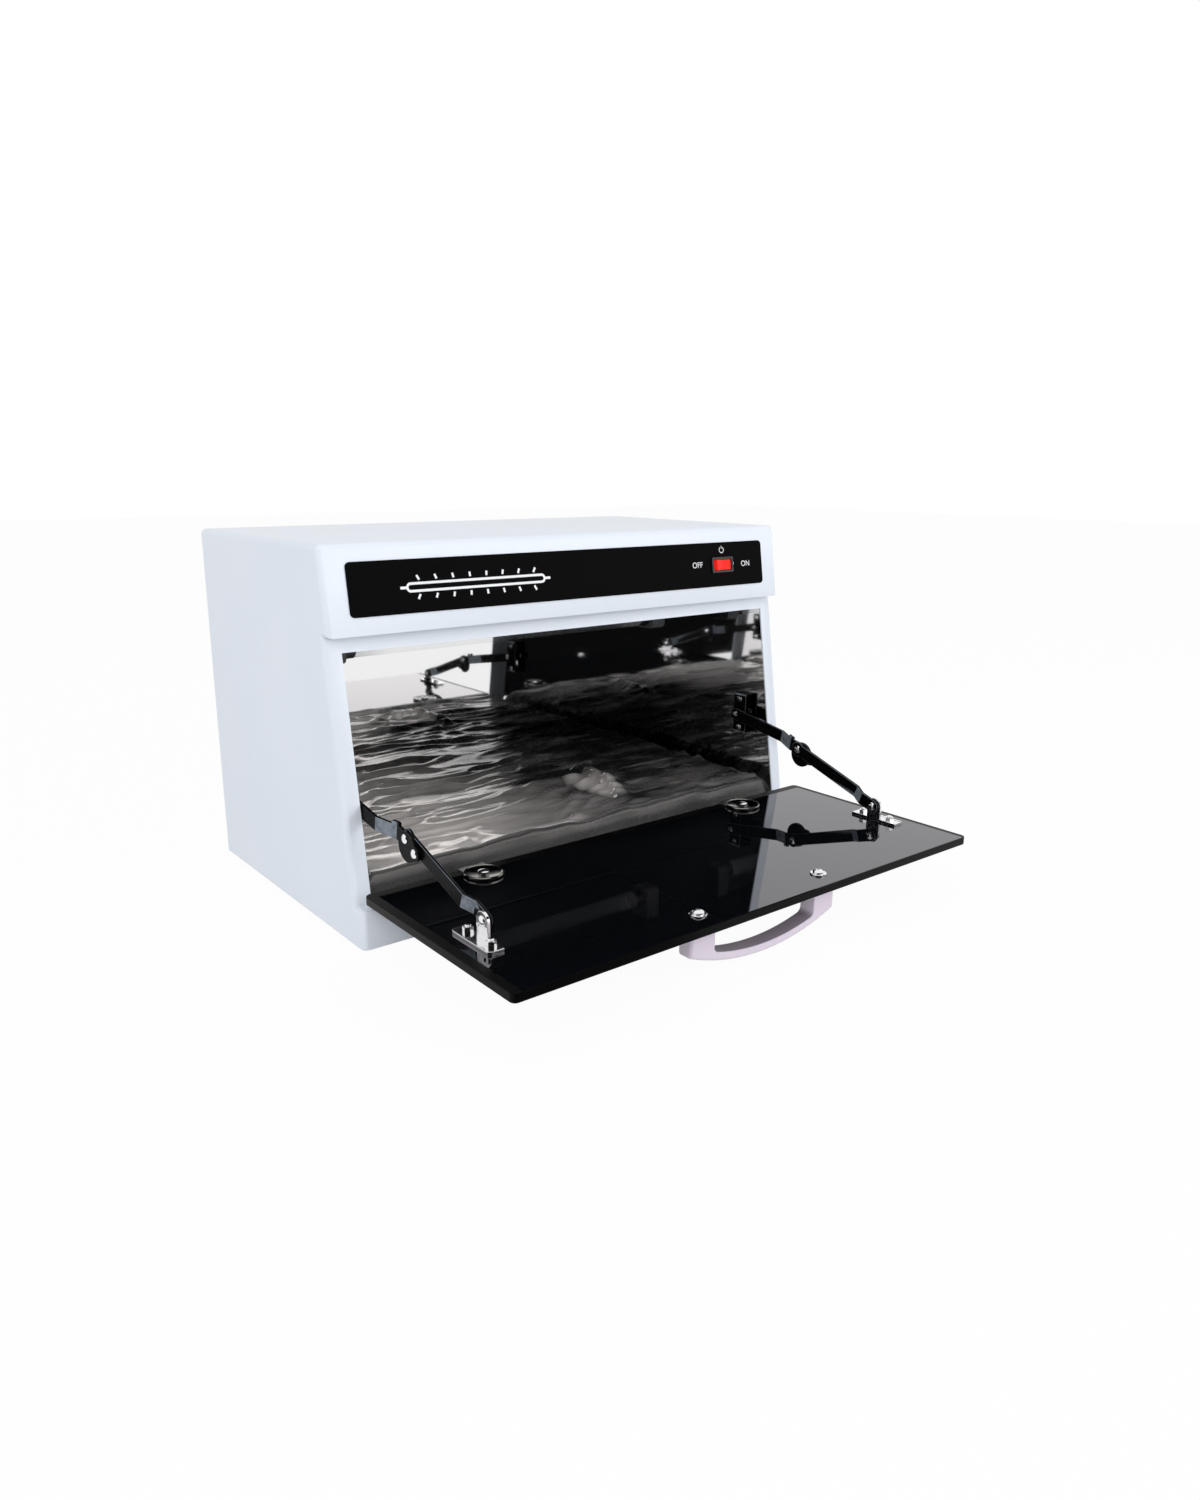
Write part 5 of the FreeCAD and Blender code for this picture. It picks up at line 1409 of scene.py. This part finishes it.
@dataclass
class FilmWrap:
    """The clear film drawn over the tray, crumpled along its width and tucked down around it.

    The skirts are left, right, front and back. A family of folds has its turn, pitch, seed and
    height, and a pattern of cells its length, pitch, height and seed.
    """

    shop: Workshop
    across: int = 400
    deep: int = 236
    rise: float = 0.0005
    skirts: tuple[float, float, float, float] = (0.0137, 0.0137, 0.0051, 0.0098)
    spare: float = 0.03
    families: tuple[tuple[float, float, float, float], ...] = (
        (0.08, 0.0235, 1.0, 0.0034), (-0.10, 0.0145, 20.0, 0.0012), (0.50, 0.0220, 40.0, 0.0013))
    cells: tuple[tuple[float, float, float, float], ...] = (
        (0.080, 0.034, 0.0022, 2.0), (0.036, 0.019, 0.0007, 7.0))
    curl_start: tuple[float, float] = (0.063, 0.103)
    curl_stop: tuple[float, float] = (0.042, 0.002)
    curl_height: float = 0.0078
    curl_bow: float = 0.009
    curl_steep: float = 0.0030
    curl_gentle: float = 0.0110

    def fold(self, x: float, y: float) -> float:
        """Height of the curled fold in the middle of the film, in metres.

        Args:
            x: place across, in metres.
            y: place from front to back, in metres.

        Returns:
            The height.
        """
        start, stop = Vector(self.curl_start), Vector(self.curl_stop)
        along = stop - start
        here = Vector((x, y)) - start
        share = here.dot(along) / along.length_squared
        if not 0.0 < share < 1.0:
            return 0.0
        aside = (here.x * along.y - here.y * along.x) / along.length
        aside += self.curl_bow * math.sin(math.pi * share)
        width = self.curl_steep if aside > 0 else self.curl_gentle
        return (self.curl_height * math.exp(-(aside / width) ** 2)
                * math.sin(math.pi * share) ** 0.8)

    def folds(self, x: float, y: float, turn: float, pitch: float, seed: float) -> float:
        """One family of soft parallel folds that come and go along their length.

        Args:
            x: place across, in metres.
            y: place from front to back, in metres.
            turn: how far the folds lean from x, in radians.
            pitch: how far apart they are, in metres.
            seed: which noise they follow.

        Returns:
            A height from 0 to 1.
        """
        along = x * math.cos(turn) + y * math.sin(turn)
        aside = y * math.cos(turn) - x * math.sin(turn)
        drift = (noise.noise(Vector((along / 0.11, aside / 0.06, seed))) * 1.5
                 + noise.noise(Vector((along / 0.035, aside / 0.03, seed + 9.0))) * 0.35)
        here = noise.noise(Vector((along / 0.12, aside / 0.03, seed + 5.0))) * 1.7 + 0.5
        here = min(max(here, 0.0), 1.0)
        return here * (0.5 + 0.5 * math.cos(math.tau * (aside / pitch + drift))) ** 1.8

    def wrinkle(self, x: float, y: float) -> float:
        """Height of the creases at a place, in metres, longest along the width.

        Args:
            x: place across, in metres.
            y: place from front to back, in metres.

        Returns:
            The height.
        """
        total = sum(self.folds(x, y, turn, pitch, seed) * height
                    for turn, pitch, seed, height in self.families)
        bend = noise.noise(Vector((x * 16.0, y * 16.0, 3.1))) * 0.014
        for length, pitch, share, seed in self.cells:
            near = noise.voronoi(Vector((x / length, (y + bend) / pitch, seed)))[0]
            total += share * min(near[0], 1.0)
        return total

    def build(self) -> bpy.types.Object:
        """Make the film over the tray's box.

        Returns:
            The film.
        """
        low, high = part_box("tray")
        left, right, front, back = self.skirts
        wide = high.x - low.x + left + right
        far_reach = high.y - low.y + front + back
        bpy.ops.object.select_all(action="DESELECT")
        bpy.ops.mesh.primitive_grid_add(x_subdivisions=self.across, y_subdivisions=self.deep,
                                        size=1.0)
        piece = bpy.context.object
        piece.name = "film_wrap"
        for vertex in piece.data.vertices:
            x = low.x - left + wide * (vertex.co.x + 0.5)
            y = low.y - front + far_reach * (vertex.co.y + 0.5)
            out = max((low.x - x) / left, (x - high.x) / right, (low.y - y) / front)
            drop = min(max(out + 0.06, 0.0), 1.0)
            fall = drop * drop * (3.0 - 2.0 * drop)
            wave = noise.noise(Vector((x * 40.0, y * 40.0, 2.0))) * 0.0012
            calm = min(1.0, max(-out * 12.0, 0.0))
            top = (high.z + self.rise + self.wrinkle(x, y) * (0.15 + 0.85 * calm)
                   + self.fold(x, y))
            base = low.z + 0.0006 + max(wave, 0.0)
            sway = fall * noise.noise(Vector((x * 45.0, y * 20.0, 4.0))) * 0.0012
            vertex.co = Vector((x, y + sway * (1.0 - drop), top + (base - top) * fall))
        self.shop.smooth(piece, 180.0)
        self.shop.adopt(piece, Finish.FILM, "cabinet", ["tray_film"])
        return piece


@dataclass
class Studio:
    """The white floor, the soft light and the camera."""

    camera_place: Vector = Vector((-0.4749, -0.61952, 0.3015))
    yaw: float = math.radians(38.557)
    pitch: float = math.radians(14.762)
    roll: float = math.radians(0.333)
    sensor: float = 36.0
    lens: float = 36.0 * 1078.0 / 1200.0
    floor_share: float = 0.96
    surround: Colour = (0.93, 0.95, 1.0)
    surround_strength: float = 0.62
    dark: float = 0.004
    bright: float = 2.2
    card_tint: Colour = (1.0, 0.985, 0.97)

    def camera(self) -> None:
        """Set the camera where the photograph was taken from."""
        forward = Vector((math.sin(self.yaw) * math.cos(self.pitch),
                          math.cos(self.yaw) * math.cos(self.pitch), -math.sin(self.pitch)))
        right = Vector((math.cos(self.yaw), -math.sin(self.yaw), 0.0))
        up = right.cross(forward)
        level_right = right * math.cos(self.roll) + up * math.sin(self.roll)
        level_up = up * math.cos(self.roll) - right * math.sin(self.roll)
        data = bpy.data.cameras.new("view")
        data.sensor_fit, data.sensor_width, data.lens = "HORIZONTAL", self.sensor, self.lens
        data.clip_start, data.clip_end = 0.01, 50.0
        viewer = bpy.data.objects.new("view", data)
        bpy.context.scene.collection.objects.link(viewer)
        viewer.matrix_world = (Matrix.Translation(self.camera_place) @ Matrix(
            (level_right, level_up, -forward)).transposed().to_4x4())
        bpy.context.scene.camera = viewer

    def lamp(self, name: str, place: Vector, target: Vector, size: float, power: float
             ) -> None:
        """Add a soft square lamp that mirrors don't show.

        Args:
            name: the lamp's name.
            place: where it stands.
            target: what it looks at.
            size: its side, in metres.
            power: its power, in watts.
        """
        data = bpy.data.lights.new(name, "AREA")
        data.size, data.energy = size, power
        lamp = bpy.data.objects.new(name, data)
        bpy.context.scene.collection.objects.link(lamp)
        lamp.location = place
        lamp.rotation_euler = (target - place).to_track_quat("-Z", "Y").to_euler()
        lamp.visible_glossy = False

    def world(self) -> None:
        """White all round for the camera and for reflections, and a gentle light elsewhere."""
        world = bpy.data.worlds.new("studio")
        bpy.context.scene.world = world
        recipe = Recipe("studio", world)
        seen = recipe.rays("Is Camera Ray", "Is Glossy Ray", "Is Transmission Ray")
        soft = recipe.node("ShaderNodeBackground", {}, {
            "Color": self.surround, "Strength": self.surround_strength})
        white = recipe.node("ShaderNodeBackground", {}, {"Color": (1.0, 1.0, 1.0)})
        recipe.node("ShaderNodeOutputWorld", {}, {"Surface": recipe.blend(seen, soft, white)})

    def floor(self) -> None:
        """A wide white floor that keeps the object's soft shadow."""
        bpy.ops.object.select_all(action="DESELECT")
        bpy.ops.mesh.primitive_plane_add(size=12.0, location=(0.0, 0.0, -0.0002))
        floor = bpy.context.object
        floor.name = "floor"
        recipe = Recipe("floor_white")
        shader = recipe.node("ShaderNodeBsdfDiffuse", {}, {"Color": (0.9, 0.9, 0.9)})
        glow = recipe.node("ShaderNodeEmission", {}, {"Color": (1.0, 1.0, 1.0)})
        share = recipe.rays("Is Camera Ray", "Is Glossy Ray") * self.floor_share
        recipe.node("ShaderNodeOutputMaterial", {}, {
            "Surface": recipe.blend(share, shader, glow)})
        floor.data.materials.append(recipe.material)

    def flag(self, name: str, centre: Vector, normal: Vector, width: float, height: float,
             strength: float) -> None:
        """A card that only reflections see, black or bright by its strength.

        Args:
            name: the card's name.
            centre: its middle.
            normal: which way it faces.
            width: its width, in metres.
            height: its height, in metres.
            strength: how bright it is.
        """
        bpy.ops.object.select_all(action="DESELECT")
        bpy.ops.mesh.primitive_plane_add(size=1.0)
        card = bpy.context.object
        card.name = name
        card.scale = (width, height, 1.0)
        card.rotation_euler = normal.to_track_quat("Z", "Y").to_euler()
        card.location = centre
        recipe = Recipe(name + "_card")
        glow = recipe.node("ShaderNodeEmission", {}, {"Color": self.card_tint,
                                                      "Strength": strength})
        recipe.node("ShaderNodeOutputMaterial", {}, {"Surface": glow.outputs[0]})
        card.data.materials.append(recipe.material)
        card.visible_camera = card.visible_diffuse = card.visible_shadow = False
        card.visible_transmission = False

    def set_up(self) -> None:
        """Build the whole studio."""
        scene = bpy.context.scene
        scene.view_settings.view_transform = "Standard"
        self.camera()
        self.world()
        self.floor()
        across = Vector((-0.5, 0.86, 0.0))
        self.flag("front_flag", Vector((-1.15, -1.45, 0.3)), Vector((0.6, 0.8, 0.0)), 3.0, 3.4,
                  self.dark)
        self.flag("floor_flag", Vector((-1.02, -1.45, 0.0005)), Vector((0.0, 0.0, 1.0)), 2.0, 2.4,
                  self.dark)
        self.flag("soft_box", Vector((1.0, -1.75, 0.63)), across, 1.5, 0.62, self.bright)
        self.flag("right_flag", Vector((1.1, -1.85, 1.75)), across, 2.4, 1.6, self.dark)
        self.lamp("key", Vector((-1.6, -1.4, 1.7)), Vector((0.0, 0.0, 0.1)), 1.6, 23.5)
        self.lamp("fill", Vector((1.0, -1.7, 0.75)), Vector((-0.1, 0.0, 0.08)), 0.8, 11.0)


def main() -> None:
    """Load the frame, dress it and set up the studio."""
    logging.basicConfig(level=logging.INFO)
    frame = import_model()
    dresser = Dresser(frame)
    dresser.dress_frame()
    shop = Workshop(frame, dresser)
    for node, width in EASED.items():
        shop.ease(node, width)
    for node in ARMS:
        shop.ease(node, *ARM_EASE)
    GlassDoor(shop).build()
    RoofLip(shop).build()
    Hardware(shop).build()
    Artwork(shop, LabelPlane()).build()
    FilmWrap(shop).build()
    Studio().set_up()


if __name__ == "__main__":
    main()
